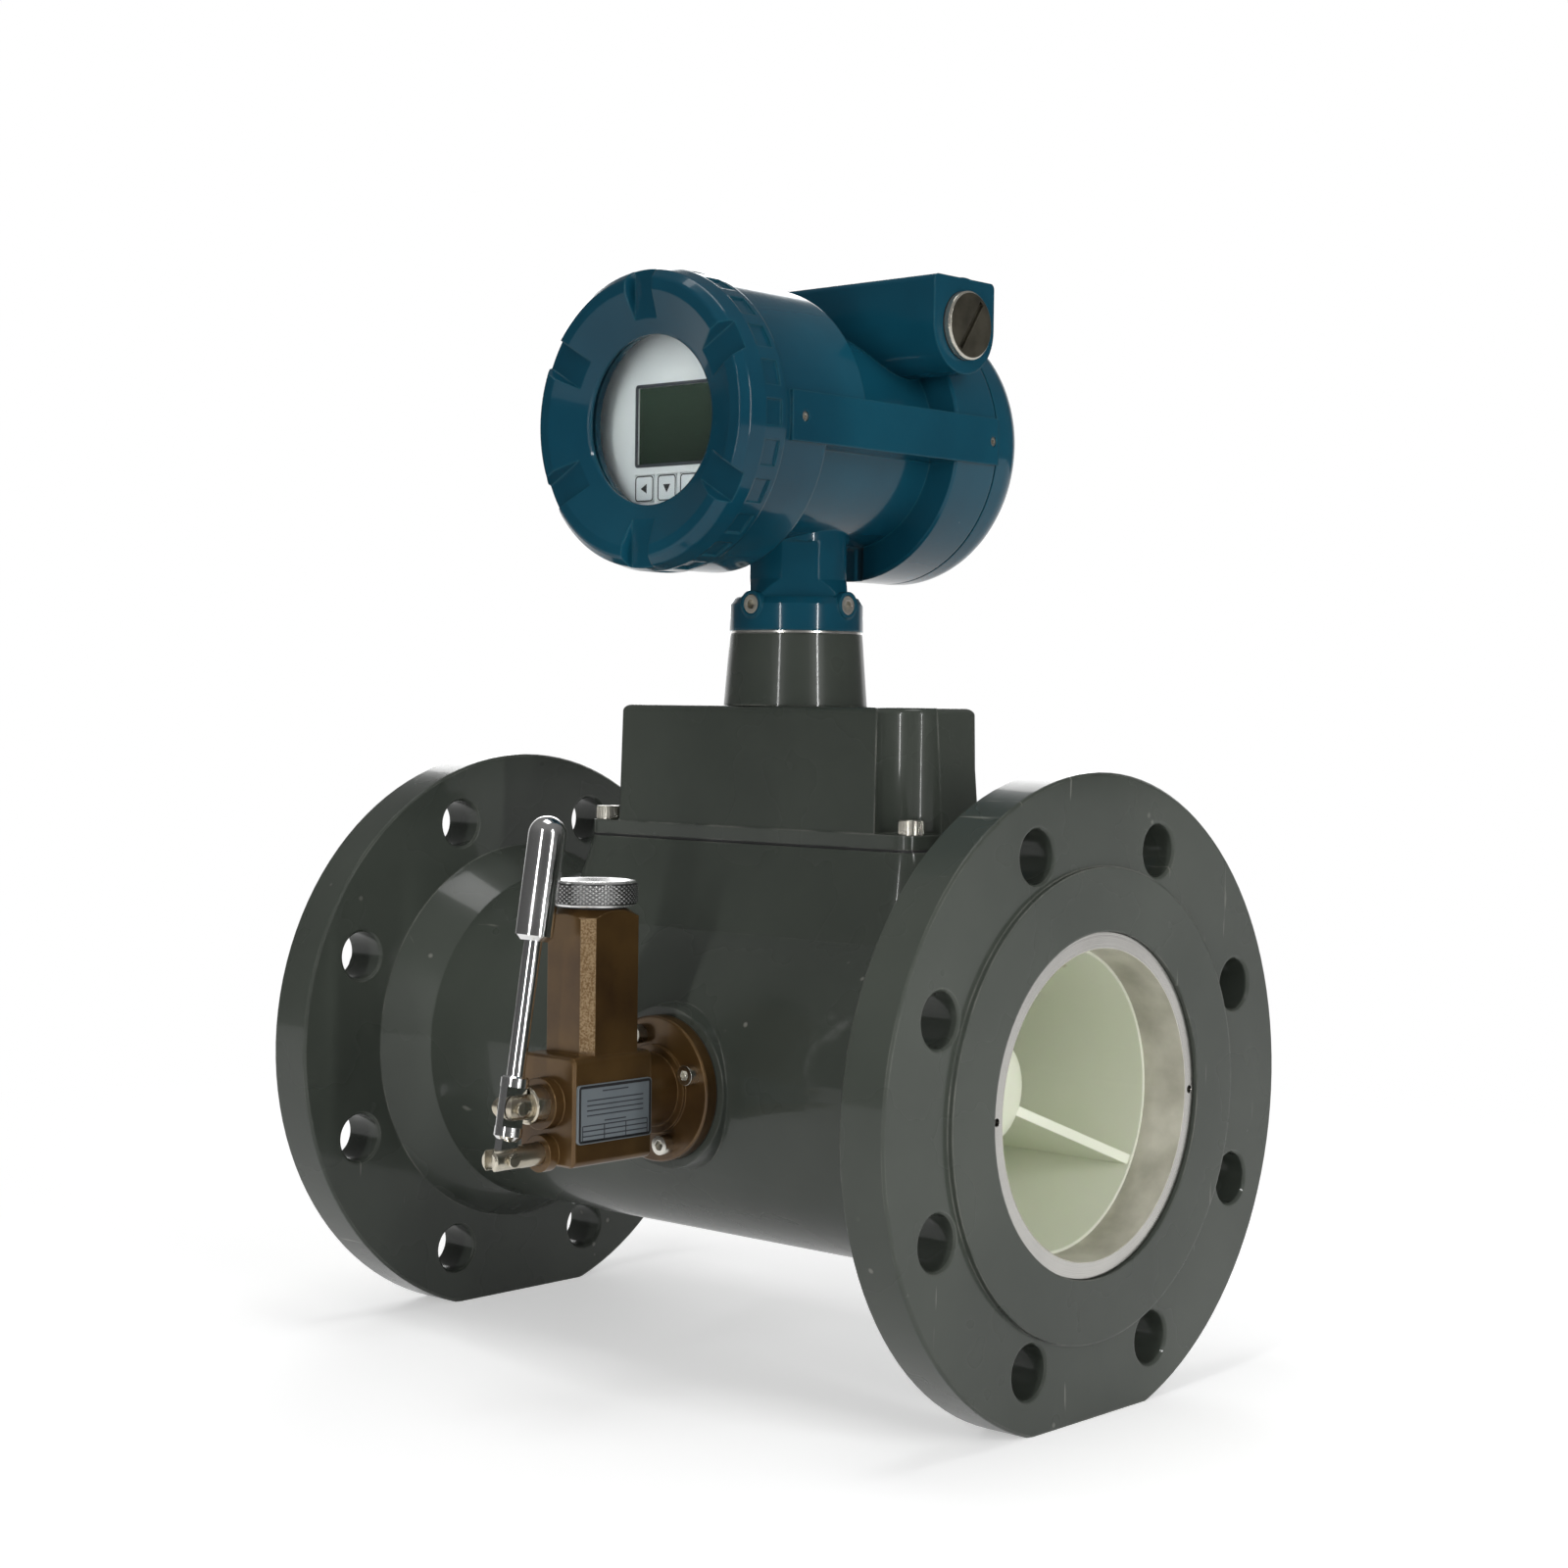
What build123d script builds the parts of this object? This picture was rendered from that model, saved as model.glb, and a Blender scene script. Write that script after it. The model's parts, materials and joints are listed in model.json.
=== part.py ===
from build123d import *
from math import cos, radians, sin, tan
import os

# Turbine gas meter, DN100 with PN16 flanges, millimetres.
# The pipe axis is X, from the inlet face at X = 0 to the outlet face.
# The display, the oil pump and its lever face -Y. +Z is up.

os.makedirs("parts", exist_ok=True)

# Fits
seat_gap = 0.1
thread_gap = 0.15
running_gap = 0.05
face_gap = 0.1
screw_clearance = 0.3
screw_head_ratio = 0.84
screw_socket_ratio = 0.46
radius_match = 0.01

# Pipe body
face_to_face = 300.0
flange_r = 110.0
flange_t = 20.0
raised_face_inset = 31.0
raised_face_h = 2.0
bolt_edge = 20.0
bolt_hole_d = 18.0
bolt_count = 8
flat_inset = 5.5
hub_clearance = 7.0
hub_length = 17.5
barrel_r = 64.0
bore_r = 54.0
rim_bevel = 0.8

# Screwed rings that hold the inner parts from both ends
ring_seat_r = 57.5
ring_seat_depth = 18.0
ring_bore_r = 51.8
ring_recess = 1.4
spanner_hole_d = 2.6
spanner_hole_depth = 4.0

# Flow guides
guide_mouth_r = 50.8
throat_r = 49.0
core_r = 34.0
nose_length = 36.0
nose_start = 26.0
nose_round = 0.5
inlet_vane_count = 12
inlet_vane_t = 1.8
inlet_vane_start = 44.0
guide_split = 142.0
core_split = 138.0
outlet_vane_count = 3
outlet_vane_t = 3.6
outlet_vane_start = 184.0
tail_start = 186.0
tail_end = 257.0
tail_r = 20.0

# Rotor
rotor_start = 146.0
rotor_width = 15.0
rotor_hub_r = 33.4
blade_count = 14
blade_tip_gap = 0.7
blade_t = 1.6
blade_root_angle = 28.0
blade_tip_angle = 42.0
shaft_r = 3.0
shaft_shoulder_r = 4.5
bearing_r = 9.5
bearing_width = 6.0
outlet_core_start = 165.0
sleeve_r = 13.0
sleeve_length = 40.0
rotor_nut_length = 5.0
oil_tube_r = 1.5
oil_tube_bore_r = 0.8

# Instruments in the junction box
pickup_x = 153.5
pickup_r = 6.0
probe_inset = 12.5
probe_y = 15.0
probe_r = 2.5
pressure_wall_gap = 5.5
pressure_r = 9.0
sensor_head_h = 22.0

# Junction box
station_x = 162.5
pad_top = 81.5
pad_margin = 0.75
pad_corner_r = 8.0
pad_flare = 18.0
gasket_t = 0.8
box_flange_t = 5.0
box_top = 130.5
box_foot_length = 155.0
box_foot_width = 57.0
box_taper_length = 8.0
box_taper_width = 3.0
box_flange_lip = 0.5
box_corner_r = 5.0
box_edge_r = 2.5
scallop_r = 12.8
box_screw_inset_x = 4.2
box_screw_inset_y = 6.0
box_screw_d = 5.0
box_screw_bite = 10.0
box_end_wall = 21.5
box_side_wall = 5.5
box_roof_t = 5.5

# Neck
neck_foot_r = 26.0
neck_head_r = 24.0
neck_top = 156.5
neck_spigot_r = 16.0
neck_spigot_top = 174.0
neck_passage_r = 9.0
neck_foot_spigot_r = 13.0
collar_ring_t = 1.0
collar_ring_inset = 0.6
collar_r = 24.2
collar_top = 167.0
column_r = 18.6
column_foot = 176.0
clamp_screw_d = 4.0
clamp_boss_r = 4.8
shield_reach = 17.4
shield_overcut = 1.0
clamp_z = 166.7
clamp_reach = 24.8
clamp_sink = 4.2
clamp_turns = (0, 90, 180, 270)

# Display head
head_z = 227.4
front_seam = 64.0
front_ring_r = 50.5
lower_ring_back = 42.0
upper_ring_back = 22.0
rear_seam = 52.3
rear_ring_front = 29.0
core_body_r = 38.5
band_reach = 51.5
band_height = 17.0
band_front = 61.0
lock_screw_d = 3.2
cavity_r = 42.6
chamber_r = 34.0
chamber_wall = 8.0
cover_thread_r = 46.6
cover_thread_length = 9.0
wire_hole_r = 7.0
ring_edge = 0.8
lock_screw_l = 4.2
lock_places = (-54.5, 48.5)

# Cable entry block on the head
entry_y = 22.5
entry_rise = 38.3
entry_r = 17.0
entry_top_rise = 55.0
entry_reach = 57.5
entry_edge_r = 2.0
plug_thread_r = 10.0
plug_thread_length = 14.0
plug_head_r = 12.1
plug_head_t = 2.6
plug_slot_w = 2.2
plug_slot_turn = 55.0
plug_washer_t = 0.6
plug_hole_length = 48.0

# Front cover
cover_r = 51.6
cover_front_r = 50.3
cover_grip_front = 74.5
crest_y = 83.2
crest_outer_r = 47.6
crest_inner_r = 43.4
cover_shoulder_y = 80.4
window_r = 29.0
window_y = 77.2
notch_count = 6
notch_width = 13.0
notch_inner_r = 33.5
notch_floor_y = 79.0
notch_slope = 16.0
grip_count = 24
grip_width = 8.6
grip_length = 7.4
grip_depth = 0.9
glass_r = 33.5
glass_t = 5.0
glass_seat_y = 75.6
retainer_w = 2.5
retainer_inner_r = 30.5
cover_cavity_r = 41.8
seal_t = 1.6

# Rear cover
rear_cover_back = 70.5
rear_cover_shoulder = 60.0
rear_cover_edge_r = 46.0
rear_cover_flat_r = 41.0
rear_cover_inner_y = 65.0

# Display
panel_y = 60.0
panel_r = 40.6
panel_t = 1.6
screen_width = 40.0
screen_height = 26.6
screen_t = 2.0
screen_recess = 0.6
key_width = 9.2
key_height = 9.4
key_pitch = 10.9
key_row_drop = 21.8
key_foot = 0.4
key_clearance = 0.2
key_proud = 0.3
key_travel = 0.5
frame_r = 41.4
frame_depth = 9.0
key_well = 2.0
board_length = 54.0
board_height = 38.0
board_t = 1.6
board_y = 38.0
board_margin = 8.0
spacer_r = 2.0
chip_length = 14.0
chip_width = 10.0
chip_height = 3.0
chip_places = ((-10, 6), (12, -4))
terminal_length = 44.0
terminal_height = 24.0
terminal_depth = 16.0
terminal_hole_r = 2.4
terminal_pitch = 8.0

# Oil pump
pump_z = -2.0
boss_r = 28.0
boss_draft = 8.0
boss_rise = 1.5
oil_pocket_r = 11.0
oil_pocket_depth = 1.5
pump_gasket_t = 0.3
pump_flange_r = 25.2
pump_flange_t = 5.0
pump_step_r = 15.4
pump_step_t = 1.2
pump_throat_r = 12.8
pump_screw_circle_r = 19.6
pump_screw_angle = 20.0
pump_screw_d = 4.0
block_start_reach = 19.9
block_half = 13.0
block_top = 14.0
block_bottom = -22.5
block_end_reach = 55.5
block_edge_r = 2.5
block_bevel = 0.8
tower_half_x = 11.5
tower_front_reach = 48.5
tower_back_reach = 21.5
tower_chamfer = 3.6
tower_top = 62.0
tower_cone_h = 5.0
tower_neck_r = 11.0
reservoir_r = 8.0
reservoir_floor = 22.0
cap_r = 15.0
cap_h = 8.5
cap_gasket_t = 0.8
cap_thread_l = 7.0
cap_dish_r = 12.0
cap_dish_depth = 1.2
plate_length = 34.0
plate_height = 19.5
plate_t = 1.0
plate_reach = 37.5
plate_z = -4.8
stem_z = -1.8
stem_r = 4.6
stem_boss_r = 8.6
stem_boss_reach = 59.5
gland_r = 6.3
gland_reach = 65.3
pump_chamber_reach = 18.5
gland_thread_l = 4.0
valve_r = 3.0
packing_t = 3.0
packing_r = 6.2

# Pump lever
fulcrum_reach = 74.1
fulcrum_z = -18.3
fulcrum_rod_r = 3.85
fulcrum_rod_end_reach = 81.1
fulcrum_rod_start_reach = 44.5
fulcrum_boss_r = 6.2
fulcrum_slot_w = 3.8
lever_lean = 9.4
lever_swing = 34.0
lever_tongue_t = 3.4
lever_foot_r = 4.7
lever_foot_start = 5.8
lever_bevel = 1.6
collar_bevel = 0.6
lever_neck_start = 10.4
lever_neck_end = 23.4
lever_collar_end = 27.0
lever_rod_r = 3.0
lever_rod_end = 100.0
grip_start = 71.5
grip_end = 113.0
grip_r = 6.35
pin_r = 1.5
pin_head_r = 2.3
pin_overhang = 1.2
pin_slot_gap = 0.3
clevis_slot_w = 4.2
clevis_tip_r = 4.4
clevis_depth = 8.0
fulcrum_slot_depth = 14.0

# Places worked out from the sizes above
far_flange_back = face_to_face - flange_t
raised_face_r = flange_r - raised_face_inset
bolt_circle_d = 2 * (flange_r - bolt_edge)
flat_drop = flange_r - flat_inset
hub_r = bolt_circle_d / 2 - bolt_hole_d / 2 - hub_clearance
guide_start = ring_seat_depth
guide_end = face_to_face - ring_seat_depth
guide_r = bore_r - seat_gap
rotor_end = rotor_start + rotor_width
oil_x = outlet_core_start + bearing_width
blade_tip_r = throat_r - blade_tip_gap
pad_length = box_foot_length + 2 * pad_margin
pad_width = box_foot_width + 2 * pad_margin
box_head_length = box_foot_length - box_taper_length
box_head_width = box_foot_width - box_taper_width
box_cavity_length = box_foot_length - 2 * box_end_wall
box_cavity_width = box_foot_width - 2 * box_side_wall
box_screw_dx = box_foot_length / 2 - box_screw_inset_x
box_screw_dy = box_foot_width / 2 - box_screw_inset_y
probe_x = station_x + box_cavity_length / 2 - probe_inset
pressure_x = station_x - box_cavity_length / 2 + pressure_r + pressure_wall_gap
box_floor = pad_top + gasket_t
box_ledge = box_floor + box_flange_t
collar_bottom = neck_top + collar_ring_t
boss_y = barrel_r + boss_rise
block_start = boss_y + block_start_reach
block_end = boss_y + block_end_reach
tower_front = boss_y + tower_front_reach
tower_back = boss_y + tower_back_reach
plate_y = boss_y + plate_reach
stem_boss_end = boss_y + stem_boss_reach
gland_end = boss_y + gland_reach
pump_chamber_end = boss_y + pump_chamber_reach
fulcrum_y = boss_y + fulcrum_reach
fulcrum_rod_end = boss_y + fulcrum_rod_end_reach
fulcrum_rod_start = boss_y + fulcrum_rod_start_reach
pump_face = boss_y + pump_gasket_t
pump_front = pump_face + pump_flange_t
pin_reach = stem_z - fulcrum_z
stem_pin_y = fulcrum_y - pin_reach * tan(radians(lever_lean))
cap_y = (tower_front + tower_back) / 2
cap_bottom = tower_top + cap_gasket_t
pin_path_low = pin_reach - 0.3
pin_path_high = pin_reach / cos(radians(lever_swing - lever_lean)) + 0.3
key_places = [((k - 1.5) * key_pitch, -key_row_drop) for k in range(4)]

pipe_axis = Axis.X
head_axis = Axis((station_x, 0, head_z), (0, 1, 0))
neck_axis = Axis((station_x, 0, 0), (0, 0, 1))
head_plan = Plane(origin=(station_x, 0, head_z), x_dir=(1, 0, 0), z_dir=(0, 0, 1))
neck_plan = Plane(origin=(station_x, 0, 0), x_dir=(1, 0, 0), z_dir=(0, -1, 0))
tower_plan = Plane(origin=(station_x, -cap_y, 0), x_dir=(1, 0, 0), z_dir=(0, -1, 0))
tower_axis = Axis((station_x, -cap_y, 0), (0, 0, 1))
lever_up = (0, sin(radians(lever_lean)), cos(radians(lever_lean)))
lever_foot = (station_x, -fulcrum_y, fulcrum_z)
lever_base = Plane(origin=lever_foot, x_dir=(1, 0, 0), z_dir=lever_up)
lever_axis = Axis(lever_foot, lever_up)
lever_across = (0, -cos(radians(lever_lean)), sin(radians(lever_lean)))
lever_profile = Plane(origin=lever_foot, x_dir=(1, 0, 0), z_dir=lever_across)
lever_side = Plane(
    origin=lever_foot, x_dir=(0, cos(radians(lever_lean)), -sin(radians(lever_lean))), z_dir=(1, 0, 0)
)


def across(x):
    """Plane across the pipe, seen along the flow."""
    return Plane.YZ.offset(x)


def facing_front(y, z, x=station_x):
    """Plane that faces -Y, with its local y up."""
    return Plane(origin=(x, -y, z), x_dir=(1, 0, 0), z_dir=(0, -1, 0))


def facing_back(y, z, x=station_x):
    """Plane that faces +Y, with its local y up."""
    return Plane(origin=(x, y, z), x_dir=(-1, 0, 0), z_dir=(0, 1, 0))


def level(z, x=station_x, y=0.0):
    """Horizontal plane through a point."""
    return Plane(origin=(x, y, z), x_dir=(1, 0, 0), z_dir=(0, 0, 1))


def side_plane(reach, y=plate_y, z=plate_z):
    """Plane that faces +X, at a distance from the middle of the pump."""
    return Plane(origin=(station_x + reach, -y, z), x_dir=(0, 1, 0), z_dir=(1, 0, 0))


def radial_plane(turn, reach, z):
    """Plane that faces away from the neck axis."""
    out = (cos(radians(turn)), sin(radians(turn)), 0)
    return Plane(
        origin=(station_x + reach * out[0], reach * out[1], z),
        x_dir=(-out[1], out[0], 0),
        z_dir=out,
    )


def disc(plane, outer_r, length):
    """Plain disc that stands on a plane."""
    with BuildPart() as piece:
        with BuildSketch(plane):
            Circle(outer_r)
        extrude(amount=length)
    return piece.part


def tube(plane, outer_r, inner_r, length):
    """Plain ring or sleeve that stands on a plane."""
    with BuildPart() as piece:
        with BuildSketch(plane):
            Circle(outer_r)
            Circle(inner_r, mode=Mode.SUBTRACT)
        extrude(amount=length)
    return piece.part


def seal_ring(plane, middle_r, thickness):
    """Round sealing ring that lies in a plane."""
    profile = Plane(origin=plane.origin, x_dir=plane.x_dir, z_dir=plane.y_dir)
    with BuildPart() as piece:
        with BuildSketch(profile):
            with Locations((middle_r, 0)):
                Circle(thickness / 2)
        revolve(axis=Axis(plane.origin, plane.z_dir))
    return piece.part


def socket_screws(plane, places, size, length):
    """Cap screws with hexagon sockets; heads stand on the plane."""
    head_r = screw_head_ratio * size
    head_h = size
    socket_r = screw_socket_ratio * size
    with BuildPart() as piece:
        with BuildSketch(plane):
            with Locations(*places):
                Circle(head_r)
        extrude(amount=head_h)
        with BuildSketch(plane):
            with Locations(*places):
                Circle(size / 2)
        extrude(amount=-length)
        with BuildSketch(plane.offset(head_h)):
            with Locations(*places):
                RegularPolygon(socket_r, 6)
        extrude(amount=-head_h / 2, mode=Mode.SUBTRACT)
    return piece.part


def headed_pin(y, z, half_width):
    """Hinge pin across the pump, with a low head at each end."""
    with BuildPart() as piece:
        with BuildSketch(side_plane(0, y, z)):
            Circle(pin_r)
        extrude(amount=half_width + pin_overhang, both=True)
        for side in (-1, 1):
            with BuildSketch(side_plane(side * (half_width + face_gap), y, z)):
                Circle(pin_head_r)
            extrude(amount=side * pin_overhang)
    return piece.part


def save(part, name):
    part.label = name
    export_step(part, "parts/" + name + ".step")


# Pipe body: two flanges with raised faces, coned hubs, barrel, pad and pump boss
body_outline = [
    (0, 0),
    (0, raised_face_r),
    (raised_face_h, raised_face_r),
    (raised_face_h, flange_r),
    (flange_t, flange_r),
    (flange_t, hub_r),
    (flange_t + hub_length, barrel_r),
    (face_to_face / 2, barrel_r),
    (face_to_face / 2, 0),
]
with BuildPart() as meter_body:
    with BuildSketch(Plane.XY):
        with BuildLine():
            Polyline(*body_outline, close=True)
        make_face()
        mirror(about=Plane.YZ.offset(face_to_face / 2))
    revolve(axis=pipe_axis)
    flange_rims = meter_body.edges().filter_by(GeomType.CIRCLE).filter_by(
        lambda e: abs(e.radius - flange_r) < radius_match
    )
    chamfer(flange_rims, rim_bevel)
    for x in (0, far_flange_back):
        with BuildSketch(across(x)):
            with PolarLocations(bolt_circle_d / 2, bolt_count, start_angle=180 / bolt_count):
                Circle(bolt_hole_d / 2)
        extrude(amount=flange_t, mode=Mode.SUBTRACT)
    hole_rims = meter_body.edges().filter_by(GeomType.CIRCLE).filter_by(
        lambda e: abs(e.radius - bolt_hole_d / 2) < radius_match
    )
    chamfer(hole_rims, rim_bevel)
    with BuildSketch(level(pad_top)):
        RectangleRounded(pad_length, pad_width, pad_corner_r)
    extrude(amount=barrel_r * 0.45 - pad_top, taper=-pad_flare)
    with BuildSketch(facing_front(boss_y, pump_z)):
        Circle(boss_r)
    extrude(amount=-barrel_r / 2, taper=-boss_draft)
    with BuildSketch(across(0)):
        Circle(bore_r)
    extrude(amount=face_to_face, mode=Mode.SUBTRACT)
    for x in (0, guide_end):
        with BuildSketch(across(x)):
            Circle(ring_seat_r)
        extrude(amount=ring_seat_depth, mode=Mode.SUBTRACT)
    for x in (0, face_to_face):
        with BuildSketch(across(x - flange_t)):
            with Locations((0, -flat_drop - flange_r / 2)):
                Rectangle(2 * flange_r, flange_r)
        extrude(amount=2 * flange_t, mode=Mode.SUBTRACT)
    with BuildSketch(level(pad_top)):
        with GridLocations(2 * box_screw_dx, 2 * box_screw_dy, 2, 2):
            Circle(box_screw_d / 2 + thread_gap)
    extrude(amount=-12, mode=Mode.SUBTRACT)
    for x, y, r in (
        (pickup_x, 0, pickup_r + thread_gap),
        (probe_x, probe_y, probe_r + thread_gap),
        (pressure_x, 0, probe_r),
    ):
        with BuildSketch(level(pad_top, x, y)):
            Circle(r)
        extrude(amount=-(pad_top - bore_r / 2), mode=Mode.SUBTRACT)
    with BuildSketch(facing_front(boss_y, pump_z)):
        with PolarLocations(pump_screw_circle_r, 4, start_angle=pump_screw_angle):
            Circle(pump_screw_d / 2 + thread_gap)
    extrude(amount=-9, mode=Mode.SUBTRACT)
    with BuildSketch(facing_front(boss_y, pump_z)):
        Circle(oil_pocket_r)
    extrude(amount=-oil_pocket_depth, mode=Mode.SUBTRACT)
    with BuildSketch(facing_front(boss_y, pump_z, oil_x)):
        Circle(oil_tube_r + thread_gap)
    extrude(amount=-barrel_r / 2, mode=Mode.SUBTRACT)
save(meter_body.part, "meter_body")

# Screwed rings with two spanner holes
for name, face, inward in (
    ("inlet_retaining_ring", ring_recess, 1),
    ("outlet_retaining_ring", face_to_face - ring_recess, -1),
):
    ring_length = ring_seat_depth - ring_recess - face_gap
    with BuildPart() as retaining_ring:
        with BuildSketch(across(face)):
            Circle(ring_seat_r - thread_gap)
            Circle(ring_bore_r, mode=Mode.SUBTRACT)
        extrude(amount=inward * ring_length)
        with BuildSketch(across(face)):
            with PolarLocations((ring_seat_r + ring_bore_r) / 2, 2):
                Circle(spanner_hole_d / 2)
        extrude(amount=inward * spanner_hole_depth, mode=Mode.SUBTRACT)
    save(retaining_ring.part, name)

# Inlet flow straightener: shell, domed nose and straight vanes, moulded in one
core_mouth_r = sleeve_r + 6
with BuildPart() as inlet_straightener:
    with BuildSketch(Plane.XY):
        with BuildLine():
            Polyline(
                (guide_start, guide_mouth_r),
                (guide_start, guide_r),
                (guide_split, guide_r),
                (guide_split, throat_r),
                (inlet_vane_start, throat_r),
                close=True,
            )
        make_face()
    revolve(axis=pipe_axis)
    with BuildSketch(Plane.XY):
        with BuildLine():
            nose = Bezier(
                (nose_start + nose_length, core_r),
                (nose_start + nose_length * nose_round, core_r),
                (nose_start, core_r * nose_round),
                (nose_start, 0),
            )
            Polyline(
                nose @ 0,
                (core_split, core_r),
                (core_split, core_mouth_r),
                (core_split - nose_length, core_mouth_r),
                (core_split - nose_length, 0),
                nose @ 1,
            )
        make_face()
    revolve(axis=pipe_axis)
    with BuildSketch(across(inlet_vane_start)):
        vane_middle_r = (core_r + throat_r) / 2
        with PolarLocations(vane_middle_r, inlet_vane_count, start_angle=180 / inlet_vane_count):
            Rectangle(throat_r - core_r + 4, inlet_vane_t)
    extrude(amount=core_split - nose_length / 2 - inlet_vane_start)
    with BuildSketch(level(guide_r + 1, pressure_x)):
        Circle(probe_r)
    extrude(amount=-(guide_r - throat_r + 2), mode=Mode.SUBTRACT)
save(inlet_straightener.part, "inlet_straightener")

# Outlet guide: shell, tail cone and three vanes with slanting ends
with BuildPart() as outlet_guide:
    with BuildSketch(Plane.XY):
        with BuildLine():
            Polyline(
                (guide_split + face_gap, throat_r),
                (guide_split + face_gap, guide_r),
                (guide_end, guide_r),
                (guide_end, guide_mouth_r),
                (outlet_vane_start, throat_r),
                close=True,
            )
        make_face()
    revolve(axis=pipe_axis)
    with BuildSketch(Plane.XY):
        with BuildLine():
            tail = Bezier(
                (tail_start, core_r),
                ((tail_start + tail_end) / 2, core_r),
                ((tail_start + tail_end) / 2 + 6, tail_r + 2),
                (tail_end - 6, tail_r),
            )
            tip = Bezier(tail @ 1, (tail_end, tail_r * 0.9), (tail_end, tail_r * 0.5), (tail_end, 0))
            Polyline(
                tip @ 1,
                (outlet_core_start + sleeve_length + face_gap, 0),
                (outlet_core_start + sleeve_length + face_gap, sleeve_r + seat_gap),
                (outlet_core_start, sleeve_r + seat_gap),
                (outlet_core_start, core_r),
                tail @ 0,
            )
        make_face()
    revolve(axis=pipe_axis)
    for k in range(outlet_vane_count):
        turn = radians(-30 + k * 360 / outlet_vane_count)
        vane_plane = Plane(
            origin=(0, 0, 0), x_dir=(1, 0, 0), z_dir=(0, -sin(turn), cos(turn))
        )
        with BuildSketch(vane_plane):
            with BuildLine():
                Polyline(
                    (outlet_vane_start, core_r - 4),
                    (outlet_vane_start, throat_r + 2),
                    (guide_end, guide_mouth_r + 1),
                    (tail_end - 2, tail_r - 4),
                    (tail_end - 12, tail_r - 4),
                    close=True,
                )
            make_face()
        extrude(amount=outlet_vane_t / 2, both=True)
    with BuildSketch(facing_front(guide_r + 1, pump_z, oil_x)):
        Circle(oil_tube_r + thread_gap)
    extrude(amount=-(guide_r + 2 - sleeve_r), mode=Mode.SUBTRACT)
    with BuildSketch(level(guide_r + 1, pickup_x)):
        Circle(pickup_r + thread_gap)
    extrude(amount=-3.0, mode=Mode.SUBTRACT)
    with BuildSketch(level(guide_r + 1, probe_x, probe_y)):
        Circle(probe_r + thread_gap)
    extrude(amount=-(guide_r + 1 - throat_r / 2), mode=Mode.SUBTRACT)
save(outlet_guide.part, "outlet_guide")

# Bearing sleeve, bearings, end plate and oil tube
sleeve_end = outlet_core_start + sleeve_length
with BuildPart() as bearing_sleeve:
    with BuildSketch(Plane.XY):
        with BuildLine():
            Polyline(
                (outlet_core_start - 1, shaft_shoulder_r + 2),
                (outlet_core_start - 1, core_r * 0.7),
                (outlet_core_start - face_gap, core_r * 0.7),
                (outlet_core_start - face_gap, sleeve_r),
                (sleeve_end, sleeve_r),
                (sleeve_end, bearing_r + seat_gap),
                (sleeve_end - bearing_width, bearing_r + seat_gap),
                (sleeve_end - bearing_width, shaft_shoulder_r + 2),
                close=True,
            )
        make_face()
    revolve(axis=pipe_axis)
    with BuildSketch(across(outlet_core_start - 1)):
        Circle(bearing_r + seat_gap)
    extrude(amount=bearing_width, mode=Mode.SUBTRACT)
    with BuildSketch(facing_front(sleeve_r + 1, pump_z, oil_x)):
        Circle(oil_tube_r + thread_gap)
    extrude(amount=-4, mode=Mode.SUBTRACT)
save(bearing_sleeve.part, "bearing_sleeve")

front_bearing = tube(across(outlet_core_start - 1), bearing_r, shaft_r + running_gap, bearing_width)
save(front_bearing, "front_bearing")
rear_bearing = tube(
    across(sleeve_end - bearing_width), bearing_r, shaft_r + running_gap, bearing_width
)
save(rear_bearing, "rear_bearing")

with BuildPart() as oil_tube:
    with BuildSketch(facing_front(sleeve_r - 1, pump_z, oil_x)):
        Circle(oil_tube_r)
        Circle(oil_tube_bore_r, mode=Mode.SUBTRACT)
    extrude(amount=boss_y - oil_pocket_depth - sleeve_r + 1)
save(oil_tube.part, "oil_tube")

# Rotor with twisted blades, on its own shaft
rotor_middle = rotor_start + rotor_width / 2


def blade_section(radius, angle, length):
    """Plane across a blade at a radius, and its chord turned by an angle."""
    chord = (cos(radians(angle)), sin(radians(angle)), 0)
    with BuildSketch(Plane(origin=(rotor_middle, 0, radius), x_dir=chord, z_dir=(0, 0, 1))) as s:
        SlotOverall(length, blade_t)
    return s.sketch


def blade():
    root_length = (rotor_width - 1) / cos(radians(blade_root_angle))
    tip_length = (rotor_width - 1) / cos(radians(blade_tip_angle))
    with BuildPart() as piece:
        add(blade_section(rotor_hub_r - 1.5, blade_root_angle, root_length))
        add(blade_section(blade_tip_r, blade_tip_angle, tip_length))
        loft()
    return piece.part


with BuildPart() as rotor:
    with BuildSketch(across(rotor_start)):
        Circle(rotor_hub_r)
        Circle(shaft_r + seat_gap, mode=Mode.SUBTRACT)
    extrude(amount=rotor_width)
    with BuildSketch(across(rotor_start)):
        Circle(rotor_hub_r - 5)
        Circle(shaft_r + 6, mode=Mode.SUBTRACT)
    extrude(amount=rotor_width / 3, mode=Mode.SUBTRACT)
    first_blade = blade()
    for k in range(blade_count):
        add(first_blade.rotate(pipe_axis, k * 360 / blade_count))
save(rotor.part, "rotor")

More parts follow.
